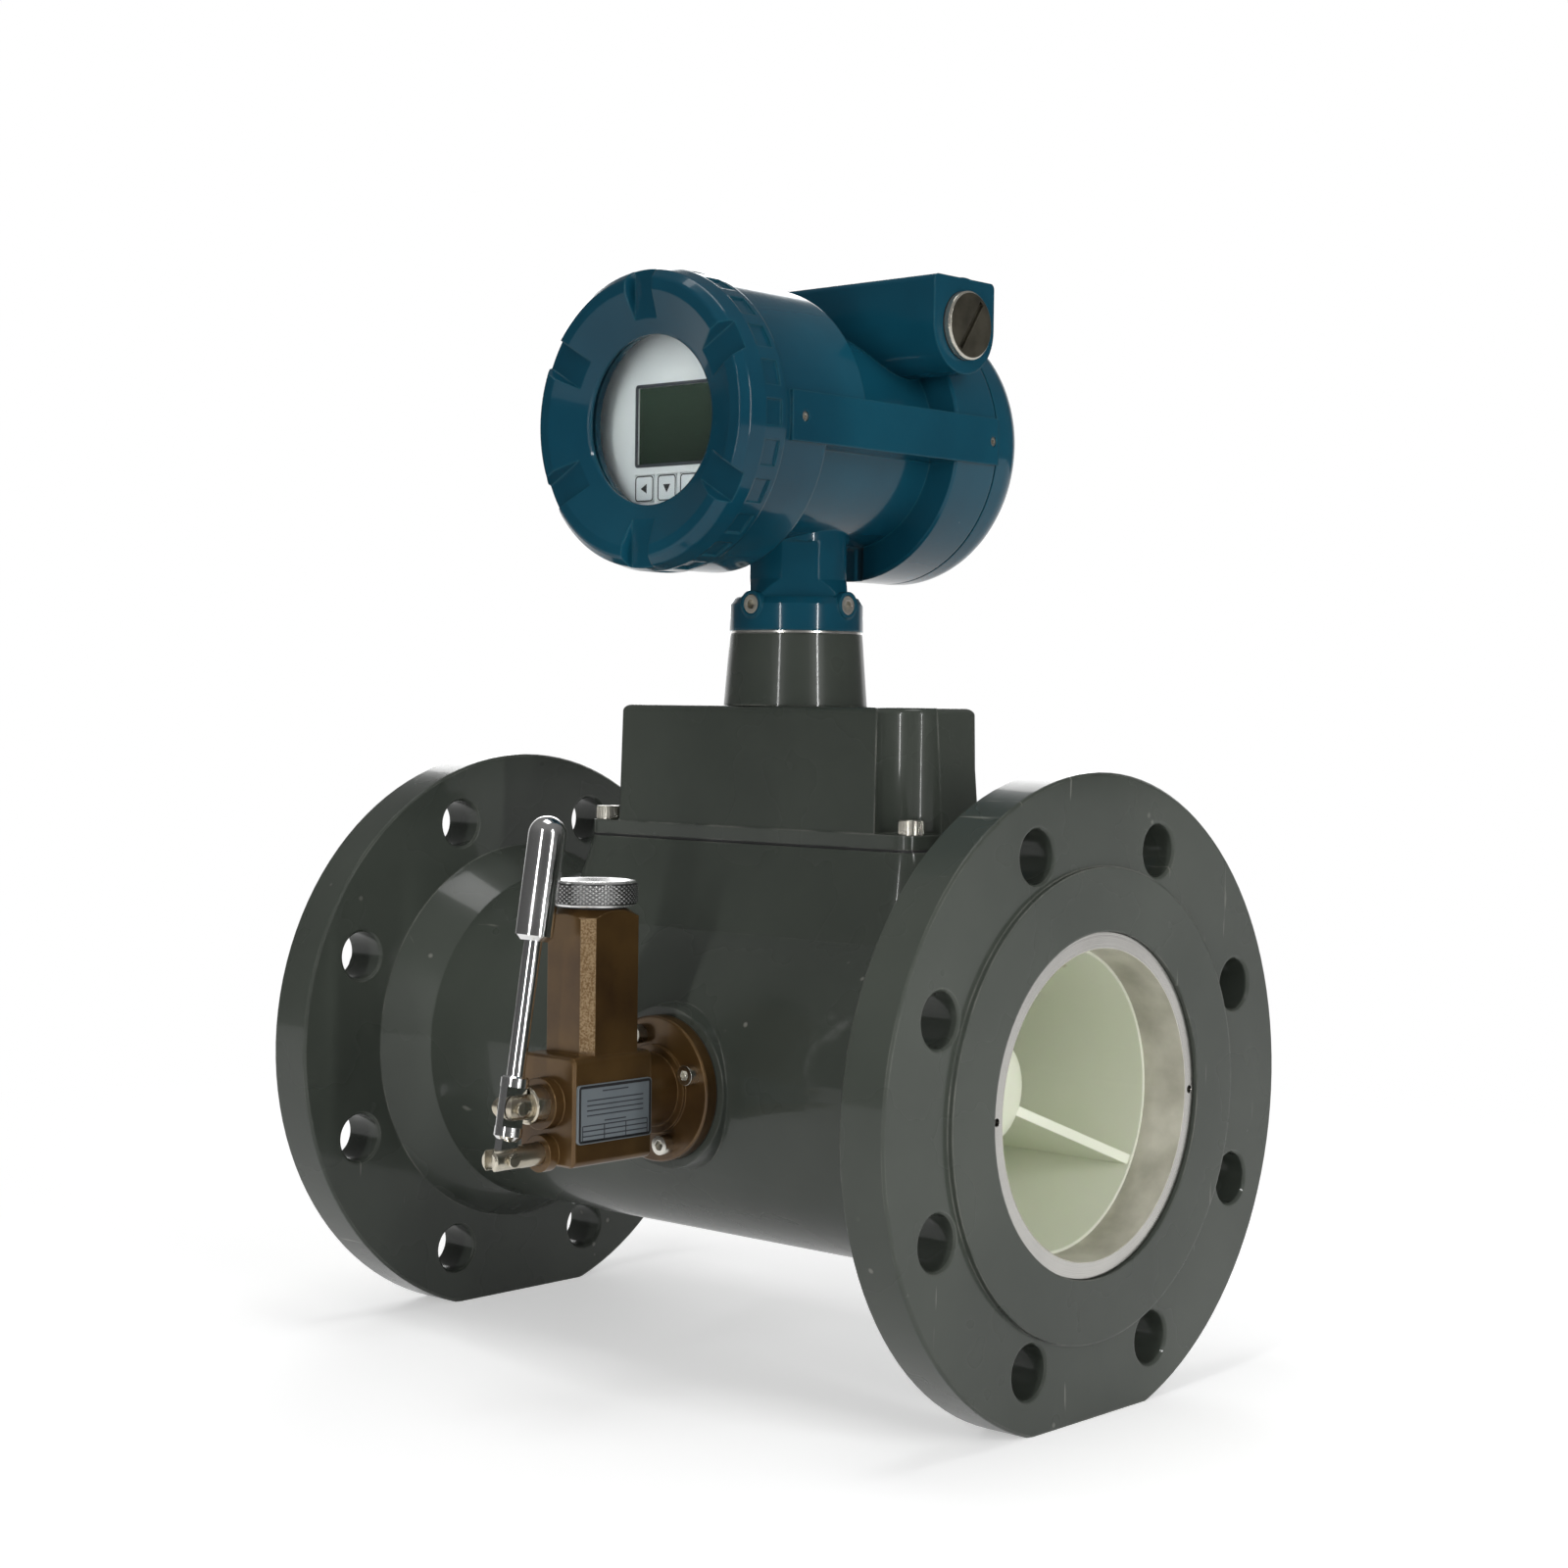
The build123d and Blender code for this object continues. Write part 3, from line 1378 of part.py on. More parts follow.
# Pump stem with its clevis end, and the pin that joins it to the lever
stem_start = pump_chamber_end + 1
with BuildPart() as pump_stem:
    with BuildSketch(facing_front(stem_start, stem_z)):
        Circle(stem_r)
    extrude(amount=stem_pin_y - stem_start)
    with BuildSketch(side_plane(0, stem_pin_y, stem_z)):
        Circle(clevis_tip_r)
    extrude(amount=stem_r, both=True)
    with BuildSketch(facing_front(stem_start, stem_z)):
        Circle(stem_r)
    extrude(amount=stem_pin_y + stem_r - stem_start, mode=Mode.INTERSECT)
    with BuildSketch(side_plane(0, stem_pin_y, stem_z)):
        with Locations((0, 0)):
            Rectangle(2 * clevis_depth, 4 * stem_r)
    extrude(amount=clevis_slot_w / 2, both=True, mode=Mode.SUBTRACT)
    with BuildSketch(side_plane(0, stem_pin_y, stem_z)):
        Circle(pin_r + running_gap)
    extrude(amount=stem_r, both=True, mode=Mode.SUBTRACT)
save(pump_stem.part, "pump_stem")

stem_pin = headed_pin(stem_pin_y, stem_z, stem_r)
save(stem_pin, "stem_pin")

# Fulcrum rod with a slotted end, and its pin
with BuildPart() as fulcrum_rod:
    with BuildSketch(facing_front(fulcrum_rod_start + face_gap, fulcrum_z)):
        Circle(fulcrum_rod_r)
    extrude(amount=fulcrum_rod_end - fulcrum_rod_start - face_gap)
    rod_tip = fulcrum_rod.edges().filter_by(GeomType.CIRCLE).sort_by(Axis.Y)[0]
    chamfer(rod_tip, 0.7)
    with BuildSketch(side_plane(0, fulcrum_rod_end, fulcrum_z)):
        Rectangle(2 * fulcrum_slot_depth, 4 * fulcrum_rod_r)
    extrude(amount=fulcrum_slot_w / 2, both=True, mode=Mode.SUBTRACT)
    with BuildSketch(side_plane(0, fulcrum_y, fulcrum_z)):
        Circle(pin_r + seat_gap / 2)
    extrude(amount=fulcrum_rod_r, both=True, mode=Mode.SUBTRACT)
save(fulcrum_rod.part, "fulcrum_rod")

fulcrum_pin = headed_pin(fulcrum_y, fulcrum_z, fulcrum_rod_r)
save(fulcrum_pin, "fulcrum_pin")

# Lever: tongue in the fulcrum slot, flats for the stem, rod and chromed grip
with BuildPart() as lever:
    with BuildSketch(lever_side):
        Circle(fulcrum_rod_r - 0.3)
        with Locations((0, lever_neck_start / 2)):
            Rectangle(2 * fulcrum_rod_r - 0.6, lever_neck_start)
    extrude(amount=lever_tongue_t / 2, both=True)
    with BuildSketch(lever_profile):
        with BuildLine():
            Polyline(
                (0, lever_foot_start),
                (lever_foot_r - lever_bevel, lever_foot_start),
                (lever_foot_r, lever_foot_start + lever_bevel),
                (lever_foot_r, lever_collar_end - collar_bevel),
                (lever_foot_r - collar_bevel, lever_collar_end),
                (lever_rod_r, lever_collar_end),
                (lever_rod_r, lever_rod_end),
                (0, lever_rod_end),
                close=True,
            )
        make_face()
    revolve(axis=lever_axis)
    with BuildSketch(lever_base.offset(lever_neck_start)):
        with Locations((lever_foot_r + lever_tongue_t / 2, 0), (-lever_foot_r - lever_tongue_t / 2, 0)):
            Rectangle(2 * lever_foot_r, 4 * lever_foot_r)
    extrude(amount=lever_neck_end - lever_neck_start, mode=Mode.SUBTRACT)
    with BuildSketch(lever_side):
        Circle(pin_r + running_gap)
    extrude(amount=lever_foot_r, both=True, mode=Mode.SUBTRACT)
    with BuildSketch(lever_side):
        with Locations((0, (pin_path_low + pin_path_high) / 2)):
            SlotCenterToCenter(pin_path_high - pin_path_low, 2 * (pin_r + pin_slot_gap), rotation=90)
    extrude(amount=lever_foot_r, both=True, mode=Mode.SUBTRACT)
save(lever.part, "lever")

with BuildPart() as lever_grip:
    with BuildSketch(lever_profile):
        with BuildLine():
            side = Polyline(
                (lever_rod_r + seat_gap, grip_start),
                (grip_r - 1.6, grip_start),
                (grip_r, grip_start + 1.6),
                (grip_r, grip_end - grip_r),
            )
            dome = CenterArc((0, grip_end - grip_r), grip_r, 0, 90)
            Polyline(
                dome @ 1,
                (0, lever_rod_end + face_gap),
                (lever_rod_r + seat_gap, lever_rod_end + face_gap),
                side @ 0,
            )
        make_face()
    revolve(axis=lever_axis)
save(lever_grip.part, "lever_grip")
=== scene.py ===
import bpy
import bmesh
import json
import math
from mathutils import Matrix, Vector


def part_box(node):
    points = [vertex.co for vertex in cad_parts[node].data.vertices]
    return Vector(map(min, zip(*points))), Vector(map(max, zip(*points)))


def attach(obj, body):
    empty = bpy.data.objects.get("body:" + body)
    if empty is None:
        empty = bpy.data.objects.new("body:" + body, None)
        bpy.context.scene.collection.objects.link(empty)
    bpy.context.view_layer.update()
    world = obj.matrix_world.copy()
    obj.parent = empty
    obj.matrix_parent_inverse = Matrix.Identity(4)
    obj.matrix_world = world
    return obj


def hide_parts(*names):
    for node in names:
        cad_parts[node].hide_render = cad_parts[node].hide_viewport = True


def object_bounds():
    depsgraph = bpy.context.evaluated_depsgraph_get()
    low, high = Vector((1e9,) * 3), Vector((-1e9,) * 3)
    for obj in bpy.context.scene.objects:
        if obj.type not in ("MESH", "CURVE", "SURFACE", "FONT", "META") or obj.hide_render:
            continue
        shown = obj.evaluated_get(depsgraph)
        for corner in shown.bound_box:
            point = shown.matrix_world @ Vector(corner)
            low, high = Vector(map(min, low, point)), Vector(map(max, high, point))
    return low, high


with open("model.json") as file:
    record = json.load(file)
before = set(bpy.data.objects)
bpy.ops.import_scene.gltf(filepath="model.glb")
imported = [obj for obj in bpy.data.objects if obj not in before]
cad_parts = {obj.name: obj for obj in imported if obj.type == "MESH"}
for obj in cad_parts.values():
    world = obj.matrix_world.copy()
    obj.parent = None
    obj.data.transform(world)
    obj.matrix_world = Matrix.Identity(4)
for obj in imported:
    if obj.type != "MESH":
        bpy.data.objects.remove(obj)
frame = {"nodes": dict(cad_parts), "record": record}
nodes = frame["nodes"]
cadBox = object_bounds()
print("frame loaded:", len(nodes), "nodes")

scene = bpy.context.scene
scene.view_settings.view_transform = "Standard"

weld = {"own": 1e-6, "joined": 2e-6}
markSink = 0.00002


def linkObject(name, data):
    obj = bpy.data.objects.new(name, data)
    scene.collection.objects.link(obj)
    return obj


def meshFrom(name, verts, faces, smooth=False):
    mesh = bpy.data.meshes.new(name)
    mesh.from_pydata([tuple(v) for v in verts], [], faces)
    mesh.update()
    bm = bmesh.new()
    bm.from_mesh(mesh)
    bmesh.ops.remove_doubles(bm, verts=bm.verts, dist=weld["own"])
    bmesh.ops.recalc_face_normals(bm, faces=bm.faces)
    bm.to_mesh(mesh)
    bm.free()
    for p in mesh.polygons:
        p.use_smooth = smooth
    return mesh


def bakeNodes(obj, name):
    # turns a Geometry Nodes result into a plain mesh
    bpy.context.view_layer.update()
    graph = bpy.context.evaluated_depsgraph_get()
    mesh = bpy.data.meshes.new_from_object(obj.evaluated_get(graph), depsgraph=graph)
    mesh.name = name
    obj.modifiers.clear()
    old = obj.data
    obj.data = mesh
    bpy.data.meshes.remove(old)
    return obj


def placeMesh(obj, matrix):
    obj.data.transform(matrix)
    obj.data.update()


def halfway(low, high, **held):
    # the middle of a box, with some coordinates held elsewhere
    return Vector([held.get(axis, (a + b) / 2) for axis, a, b in zip("xyz", low, high)])


class Tree:
    # short hand for linking nodes in a shader or geometry tree
    def __init__(self, tree):
        self.tree = tree

    def node(self, kind, **values):
        n = self.tree.nodes.new(kind)
        for key, value in values.items():
            setattr(n, key, value)
        return n

    def link(self, source, socket):
        self.tree.links.new(source, socket)

    def feed(self, socket, value):
        if hasattr(value, "is_output"):
            self.link(value, socket)
        else:
            socket.default_value = value

    def math(self, operation, *inputs):
        n = self.node("ShaderNodeMath", operation=operation)
        for socket, value in zip(n.inputs, inputs):
            self.feed(socket, value)
        return n.outputs[0]

    def ramp(self, value, low, high, outLow=0.0, outHigh=1.0):
        n = self.node("ShaderNodeMapRange", clamp=True)
        for socket, v in zip(n.inputs, (value, low, high, outLow, outHigh)):
            self.feed(socket, v)
        return n.outputs[0]

    def mixColour(self, factor, a, b):
        n = self.node("ShaderNodeMix", data_type="RGBA")
        self.feed(n.inputs["Factor"], factor)
        self.feed(n.inputs[6], a)
        self.feed(n.inputs[7], b)
        return n.outputs[2]

    def splitAxes(self, vector):
        n = self.node("ShaderNodeSeparateXYZ")
        self.link(vector, n.inputs[0])
        return n.outputs


class Finish(Tree):
    # one procedural material on Object coordinates
    sockets = {"rough": "Roughness", "metal": "Metallic", "colour": "Base Color", "coat": "Coat Weight",
               "coatRough": "Coat Roughness", "ior": "IOR", "specular": "Specular IOR Level",
               "clear": "Transmission Weight", "soft": "Subsurface Weight",
               "softReach": "Subsurface Radius", "softScale": "Subsurface Scale"}
    bevelSamples = 6
    edgeBand = (0.02, 0.2)

    def __init__(self, name):
        self.material = bpy.data.materials.new(name)
        self.material.use_nodes = True
        super().__init__(self.material.node_tree)
        self.shader = self.tree.nodes["Principled BSDF"]
        self.surface = self.tree.nodes["Material Output"].inputs["Surface"]
        self.coords = self.node("ShaderNodeTexCoord").outputs["Object"]
        self.bumps = []

    def set(self, **values):
        for key, value in values.items():
            self.feed(self.shader.inputs[self.sockets[key]], value)

    def noise(self, scale, detail, stretch=None):
        n = self.node("ShaderNodeTexNoise")
        n.inputs["Scale"].default_value = scale
        n.inputs["Detail"].default_value = detail
        source = self.coords
        if stretch:
            m = self.node("ShaderNodeMapping")
            m.inputs["Scale"].default_value = stretch
            self.link(source, m.inputs["Vector"])
            source = m.outputs[0]
        self.link(source, n.inputs["Vector"])
        return n.outputs["Fac"]

    def patches(self, scale, detail, low, high, outLow=0.0, outHigh=1.0):
        # noise cut to a band
        return self.ramp(self.noise(scale, detail), low, high, outLow, outHigh)

    def spots(self, scale, low, high, patch):
        # small round marks that gather in patches
        n = self.node("ShaderNodeTexVoronoi")
        n.inputs["Scale"].default_value = scale
        self.link(self.coords, n.inputs["Vector"])
        return self.math("MULTIPLY", self.ramp(n.outputs["Distance"], low, high, 1.0, 0.0), self.patches(*patch))

    def axisValue(self, axis):
        return self.splitAxes(self.coords)["XYZ".index(axis)]

    def radius(self, axis, centre):
        # distance from a line along one axis
        split = self.splitAxes(self.coords)
        a, b = (self.math("SUBTRACT", split[i], centre[i]) for i in range(3) if i != "XYZ".index(axis))
        return self.math("SQRT", self.math("ADD", self.math("MULTIPLY", a, a), self.math("MULTIPLY", b, b)))

    def near(self, point, reach, fade):
        # 1 near a point, 0 beyond it
        n = self.node("ShaderNodeVectorMath", operation="DISTANCE")
        self.link(self.coords, n.inputs[0])
        n.inputs[1].default_value = point
        return self.ramp(n.outputs["Value"], reach, reach + fade, 1.0, 0.0)

    def between(self, share, start, end):
        # start where the share is 0, end where it is 1
        return self.ramp(share, 0.0, 1.0, start, end)

    def roundedNormal(self, width):
        n = self.node("ShaderNodeBevel", samples=self.bevelSamples)
        n.inputs["Radius"].default_value = width
        return n.outputs[0]

    def edges(self, width):
        # how far a rounded normal leaves the true one
        g = self.node("ShaderNodeNewGeometry")
        d = self.node("ShaderNodeVectorMath", operation="DOT_PRODUCT")
        self.link(self.roundedNormal(width), d.inputs[0])
        self.link(g.outputs["Normal"], d.inputs[1])
        return self.ramp(self.math("SUBTRACT", 1.0, d.outputs["Value"]), *self.edgeBand)

    def bump(self, height, strength, distance, rounded=0.0):
        # the first bump of a finish may start from a rounded normal
        n = self.node("ShaderNodeBump")
        n.inputs["Strength"].default_value = strength
        n.inputs["Distance"].default_value = distance
        self.feed(n.inputs["Height"], height)
        if self.bumps:
            self.link(self.bumps[-1].outputs[0], n.inputs["Normal"])
        elif rounded:
            self.link(self.roundedNormal(rounded), n.inputs["Normal"])
        self.bumps.append(n)
        self.link(n.outputs[0], self.shader.inputs["Normal"])

    def grain(self, scale, detail, strength, distance, rounded=0.0):
        self.bump(self.noise(scale, detail), strength, distance, rounded)


# In the looks below a cloud, sheen or patch is scale, detail, low and high of a noise band,
# and a skin is scale, detail, strength and distance of a bump, some with a rounding width.


def spoolPaint():
    look = {"dark": (0.043, 0.05, 0.042, 1), "light": (0.066, 0.075, 0.063, 1), "worn": (0.26, 0.26, 0.23, 1),
            "cloud": (9.0, 5.0, 0.35, 0.68), "sheen": (21.0, 3.0, 0.3, 0.7), "rough": (0.22, 0.34),
            "coat": 0.3, "coatRough": 0.07, "specular": 0.15,
            "skin": (420.0, 2.0, 0.05, 0.0004, 0.0012), "wave": (14.0, 2.0, 0.05, 0.002)}
    scratch = {"noise": (34.0, 2.0, (1.0, 9.0, 0.7)), "band": (0.735, 0.765), "share": 0.5}
    chip = {"spots": (95.0, 0.05, 0.11, (13.0, 1.0, 0.62, 0.7)), "share": 0.8}
    edge = {"width": 0.0011, "patch": (46.0, 3.0, 0.42, 0.62), "share": 0.7}
    f = Finish("spoolPaint")
    colour = f.mixColour(f.patches(*look["cloud"]), look["dark"], look["light"])
    scratches = f.math("MULTIPLY", f.ramp(f.noise(*scratch["noise"]), *scratch["band"]), scratch["share"])
    chips = f.math("MULTIPLY", f.spots(*chip["spots"]), chip["share"])
    rubbed = f.math("MULTIPLY", f.edges(edge["width"]), f.patches(*edge["patch"]))
    rubbed = f.math("MULTIPLY", rubbed, edge["share"])
    wear = f.math("MAXIMUM", f.math("MAXIMUM", scratches, chips), rubbed)
    f.set(colour=f.mixColour(wear, colour, look["worn"]), rough=f.patches(*look["sheen"], *look["rough"]),
          coat=look["coat"], coatRough=look["coatRough"], specular=look["specular"])
    f.grain(*look["skin"])
    f.grain(*look["wave"])
    return f.material


def headPaint():
    look = {"deep": (0.004, 0.044, 0.073, 1), "bright": (0.006, 0.068, 0.108, 1),
            "cloud": (11.0, 4.0, 0.35, 0.65), "sheen": (30.0, 3.0, 0.3, 0.7), "rough": (0.13, 0.2),
            "coat": 0.28, "coatRough": 0.04, "specular": 0.1,
            "skin": (300.0, 2.0, 0.035, 0.0004, 0.0011), "wave": (60.0, 2.0, 0.04, 0.0008)}
    edge = {"width": 0.001, "share": 0.35, "colour": (0.02, 0.14, 0.18, 1)}
    speck = {"spots": (150.0, 0.02, 0.05, (17.0, 1.0, 0.66, 0.7)), "share": 0.5, "colour": (0.2, 0.25, 0.27, 1)}
    f = Finish("headPaint")
    colour = f.mixColour(f.patches(*look["cloud"]), look["deep"], look["bright"])
    colour = f.mixColour(f.math("MULTIPLY", f.edges(edge["width"]), edge["share"]), colour, edge["colour"])
    colour = f.mixColour(f.math("MULTIPLY", f.spots(*speck["spots"]), speck["share"]), colour, speck["colour"])
    f.set(colour=colour, rough=f.patches(*look["sheen"], *look["rough"]), coat=look["coat"],
          coatRough=look["coatRough"], specular=look["specular"])
    f.grain(*look["skin"])
    f.grain(*look["wave"])
    return f.material


def guidePlastic():
    look = {"pale": (0.9, 0.93, 0.79, 1), "shade": (0.84, 0.88, 0.71, 1), "cloud": (12.0, 4.0, 0.3, 0.7),
            "sheen": (25.0, 3.0, 0.3, 0.7), "rough": (0.32, 0.45), "soft": 0.15, "softReach": (0.6, 0.8, 0.5),
            "softScale": 0.004, "skin": (180.0, 3.0, 0.05, 0.0005, 0.0006)}
    stain = {"first": ((0.262, 0.026, 0.043), 0.0012), "second": ((0.266, 0.0215, 0.0455), 0.0009),
             "fade": 0.003, "patch": (420.0, 4.0, 0.35, 0.6), "colour": (0.3, 0.14, 0.02, 1)}
    f = Finish("guidePlastic")
    colour = f.mixColour(f.patches(*look["cloud"]), look["pale"], look["shade"])
    stained = f.math("MAXIMUM", f.near(*stain["first"], stain["fade"]), f.near(*stain["second"], stain["fade"]))
    dirt = f.math("MULTIPLY", stained, f.patches(*stain["patch"]))
    f.set(colour=f.mixColour(dirt, colour, stain["colour"]), rough=f.patches(*look["sheen"], *look["rough"]),
          soft=look["soft"], softReach=look["softReach"], softScale=look["softScale"])
    f.grain(*look["skin"])
    return f.material


def ringSteel():
    # the turned face of the ring and the duller wall of its bore
    face = {"light": (0.42, 0.41, 0.39, 1), "dark": (0.56, 0.55, 0.52, 1), "noise": (40.0, 3.0),
            "metal": 1.0, "rough": 0.24}
    wall = {"light": (0.68, 0.65, 0.58, 1), "dark": (0.44, 0.42, 0.36, 1), "cloud": (60.0, 5.0, 0.35, 0.7),
            "metal": 0.35, "rough": 0.55, "reach": (0.05195, 0.0521)}
    lathe = {"scale": 1.0, "detail": 4.0, "pitch": 2600.0, "bump": (0.12, 0.0003, 0.0004)}
    skin = (300.0, 4.0, 0.08, 0.0003)
    f = Finish("ringSteel")
    r = f.radius("X", (0, 0, 0))
    rings = f.node("ShaderNodeTexNoise", noise_dimensions="1D")
    rings.inputs["Scale"].default_value = lathe["scale"]
    rings.inputs["Detail"].default_value = lathe["detail"]
    f.link(f.math("MULTIPLY", r, lathe["pitch"]), rings.inputs["W"])
    inner = f.ramp(r, *wall["reach"], 1.0, 0.0)
    faceColour = f.mixColour(f.noise(*face["noise"]), face["light"], face["dark"])
    wallColour = f.mixColour(f.patches(*wall["cloud"]), wall["light"], wall["dark"])
    f.set(colour=f.mixColour(inner, faceColour, wallColour), metal=f.between(inner, face["metal"], wall["metal"]),
          rough=f.between(inner, face["rough"], wall["rough"]))
    f.bump(rings.outputs["Fac"], *lathe["bump"])
    f.grain(*skin)
    return f.material


def plainMetal(name, light, dark, rough, metal=1.0, bump=0.06):
    look = {"cloud": (35.0, 4.0, 0.35, 0.7), "sheen": (70.0, 3.0, 0.3, 0.7), "skin": (260.0, 3.0),
            "depth": 0.0003, "rounded": 0.0003}
    f = Finish(name)
    f.set(colour=f.mixColour(f.patches(*look["cloud"]), light, dark), metal=metal,
          rough=f.patches(*look["sheen"], *rough))
    if bump:
        f.grain(*look["skin"], bump, look["depth"], look["rounded"])
    return f.material


def capAluminium():
    # painted shade darkens the grooves between the diamonds of the knurled rim
    look = {"light": (0.8, 0.8, 0.79, 1), "grooveShade": (0.1, 0.1, 0.1, 1), "rim": (0.0142, 0.0144),
            "depth": (0.0145, 0.01495), "metal": 0.9, "sheen": (80.0, 3.0, 0.3, 0.7), "rough": (0.22, 0.34),
            "skin": (260.0, 3.0, 0.05, 0.0003)}
    low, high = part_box("reservoir_cap")
    f = Finish("capAluminium")
    r = f.radius("Z", halfway(low, high))
    # painted shade: the colour turns dark at the bottom of the knurl grooves
    grooveShade = f.math("MULTIPLY", f.ramp(r, *look["rim"]), f.ramp(r, *look["depth"], 1.0, 0.0))
    f.set(colour=f.mixColour(grooveShade, look["light"], look["grooveShade"]), metal=look["metal"],
          rough=f.patches(*look["sheen"], *look["rough"]))
    f.grain(*look["skin"])
    return f.material


def pumpBronze():
    look = {"brown": (0.135, 0.074, 0.022, 1), "dark": (0.05, 0.024, 0.008, 1), "cloud": (26.0, 5.0, 0.35, 0.68),
            "metal": 0.55, "rough": 0.33, "coat": 0.3, "coatRough": 0.15, "skin": (240.0, 3.0, 0.06, 0.0004)}
    edge = {"width": 0.0006, "patch": (90.0, 3.0, 0.3, 0.6), "share": 0.8, "colour": (0.24, 0.14, 0.05, 1)}
    cast = {"slant": (0.42, 0.48), "height": (0.0145, 0.0155), "noise": (1500.0, 3.0), "band": (0.4, 0.62),
            "colour": (0.27, 0.185, 0.095, 1), "rough": 0.5, "bump": (0.5, 0.0004, 0.0006)}
    f = Finish("pumpBronze")
    colour = f.mixColour(f.patches(*look["cloud"]), look["brown"], look["dark"])
    rubbed = f.math("MULTIPLY", f.edges(edge["width"]), f.patches(*edge["patch"]))
    colour = f.mixColour(f.math("MULTIPLY", rubbed, edge["share"]), colour, edge["colour"])
    # the tower's cut corners keep their rough cast skin
    normal = f.splitAxes(f.node("ShaderNodeTexCoord").outputs["Normal"])
    slant = f.math("MULTIPLY", f.math("ABSOLUTE", normal[0]), f.math("ABSOLUTE", normal[1]))
    corner = f.math("MULTIPLY", f.ramp(slant, *cast["slant"]), f.ramp(f.axisValue("Z"), *cast["height"]))
    grain = f.noise(*cast["noise"])
    castColour = f.mixColour(f.ramp(grain, *cast["band"]), look["brown"], cast["colour"])
    f.set(colour=f.mixColour(corner, colour, castColour), metal=look["metal"],
          rough=f.between(corner, look["rough"], cast["rough"]), coat=look["coat"], coatRough=look["coatRough"])
    f.bump(f.math("MULTIPLY", grain, corner), *cast["bump"])
    f.grain(*look["skin"])
    return f.material


def plugMetal():
    look = {"light": (0.13, 0.12, 0.09, 1), "dark": (0.06, 0.055, 0.042, 1), "cloud": (90.0, 4.0, 0.35, 0.7),
            "metal": 0.85, "rough": 0.42, "skin": (500.0, 3.0, 0.15, 0.0003, 0.0004)}
    rim = {"centre": (0, 0.0225, 0.2657), "reach": (0.01125, 0.0115), "colour": (0.5, 0.48, 0.42, 1),
           "rough": 0.25}
    f = Finish("plugMetal")
    outer = f.ramp(f.radius("X", rim["centre"]), *rim["reach"])
    face = f.mixColour(f.patches(*look["cloud"]), look["light"], look["dark"])
    f.set(colour=f.mixColour(outer, face, rim["colour"]), metal=look["metal"],
          rough=f.between(outer, look["rough"], rim["rough"]))
    f.grain(*look["skin"])
    return f.material


def screenGlass():
    look = {"low": (0.012, 0.022, 0.014, 1), "high": (0.03, 0.05, 0.035, 1), "paintedShadeHeights": (0.214, 0.241),
            "rough": 0.16, "specular": 0.25, "skin": (200.0, 3.0, 0.02, 0.0002)}
    f = Finish("screenGlass")
    # painted light: the screen is painted darker at the bottom and lighter towards the top
    f.set(colour=f.mixColour(f.ramp(f.axisValue("Z"), *look["paintedShadeHeights"]), look["low"], look["high"]),
          rough=look["rough"], specular=look["specular"])
    f.grain(*look["skin"])
    return f.material


def windowGlass():
    look = {"colour": (0.97, 1.0, 0.99, 1), "rough": 0.015, "clear": 1.0, "ior": 1.45,
            "shadow": (0.95, 0.97, 0.96, 1), "skin": (30.0, 3.0, 0.004, 0.0003)}
    f = Finish("windowGlass")
    f.set(colour=look["colour"], rough=look["rough"], clear=look["clear"], ior=look["ior"])
    f.grain(*look["skin"])
    # light passes straight through to what lies behind the glass
    clearPath = f.node("ShaderNodeBsdfTransparent")
    clearPath.inputs[0].default_value = look["shadow"]
    path = f.node("ShaderNodeLightPath")
    mixer = f.node("ShaderNodeMixShader")
    f.link(path.outputs["Is Shadow Ray"], mixer.inputs[0])
    f.link(f.shader.outputs[0], mixer.inputs[1])
    f.link(clearPath.outputs[0], mixer.inputs[2])
    f.link(mixer.outputs[0], f.surface)
    return f.material


def plastic(name, light, dark, rough, bump=0.05):
    look = {"cloud": (40.0, 4.0, 0.35, 0.7), "skin": (900.0, 2.0), "depth": 0.0002, "rounded": 0.0003}
    f = Finish(name)
    f.set(colour=f.mixColour(f.patches(*look["cloud"]), light, dark), rough=rough)
    f.grain(*look["skin"], bump, look["depth"], look["rounded"])
    return f.material


def circuitGreen():
    look = {"Scale": 260.0, "Color1": (0.015, 0.14, 0.05, 1), "Color2": (0.02, 0.18, 0.07, 1),
            "Mortar": (0.25, 0.2, 0.06, 1)}
    rough = 0.4
    bump = (0.1, 0.0002)
    f = Finish("circuitGreen")
    tracks = f.node("ShaderNodeTexBrick")
    f.link(f.coords, tracks.inputs["Vector"])
    for label, value in look.items():
        tracks.inputs[label].default_value = value
    f.set(colour=tracks.outputs["Color"], rough=rough)
    f.bump(tracks.outputs["Fac"], *bump)
    return f.material


# light and dark colour, the range of roughness, and what differs from the usual
metals = {
    "bearing_steel": ("bearingSteel", (0.66, 0.65, 0.62, 1), (0.5, 0.49, 0.46, 1), (0.16, 0.28), {}),
    "screw_steel": ("screwSteel", (0.68, 0.66, 0.6, 1), (0.42, 0.4, 0.34, 1), (0.2, 0.34), {"bump": 0.1}),
    "stem_nickel": ("stemNickel", (0.68, 0.64, 0.54, 1), (0.46, 0.41, 0.32, 1), (0.2, 0.34), {"bump": 0.08}),
    "lever_chrome": ("leverChrome", (0.78, 0.78, 0.78, 1), (0.68, 0.68, 0.67, 1), (0.11, 0.17), {"bump": 0}),
    "tube_brass": ("tubeBrass", (0.75, 0.52, 0.2, 1), (0.5, 0.32, 0.1, 1), (0.25, 0.4), {}),
    "rotor_aluminium": ("rotorAluminium", (0.72, 0.73, 0.74, 1), (0.55, 0.56, 0.57, 1), (0.28, 0.42), {}),
    "plate_metal": ("plateMetal", (0.23, 0.26, 0.28, 1), (0.17, 0.2, 0.22, 1), (0.35, 0.5), {"metal": 0.35}),
}
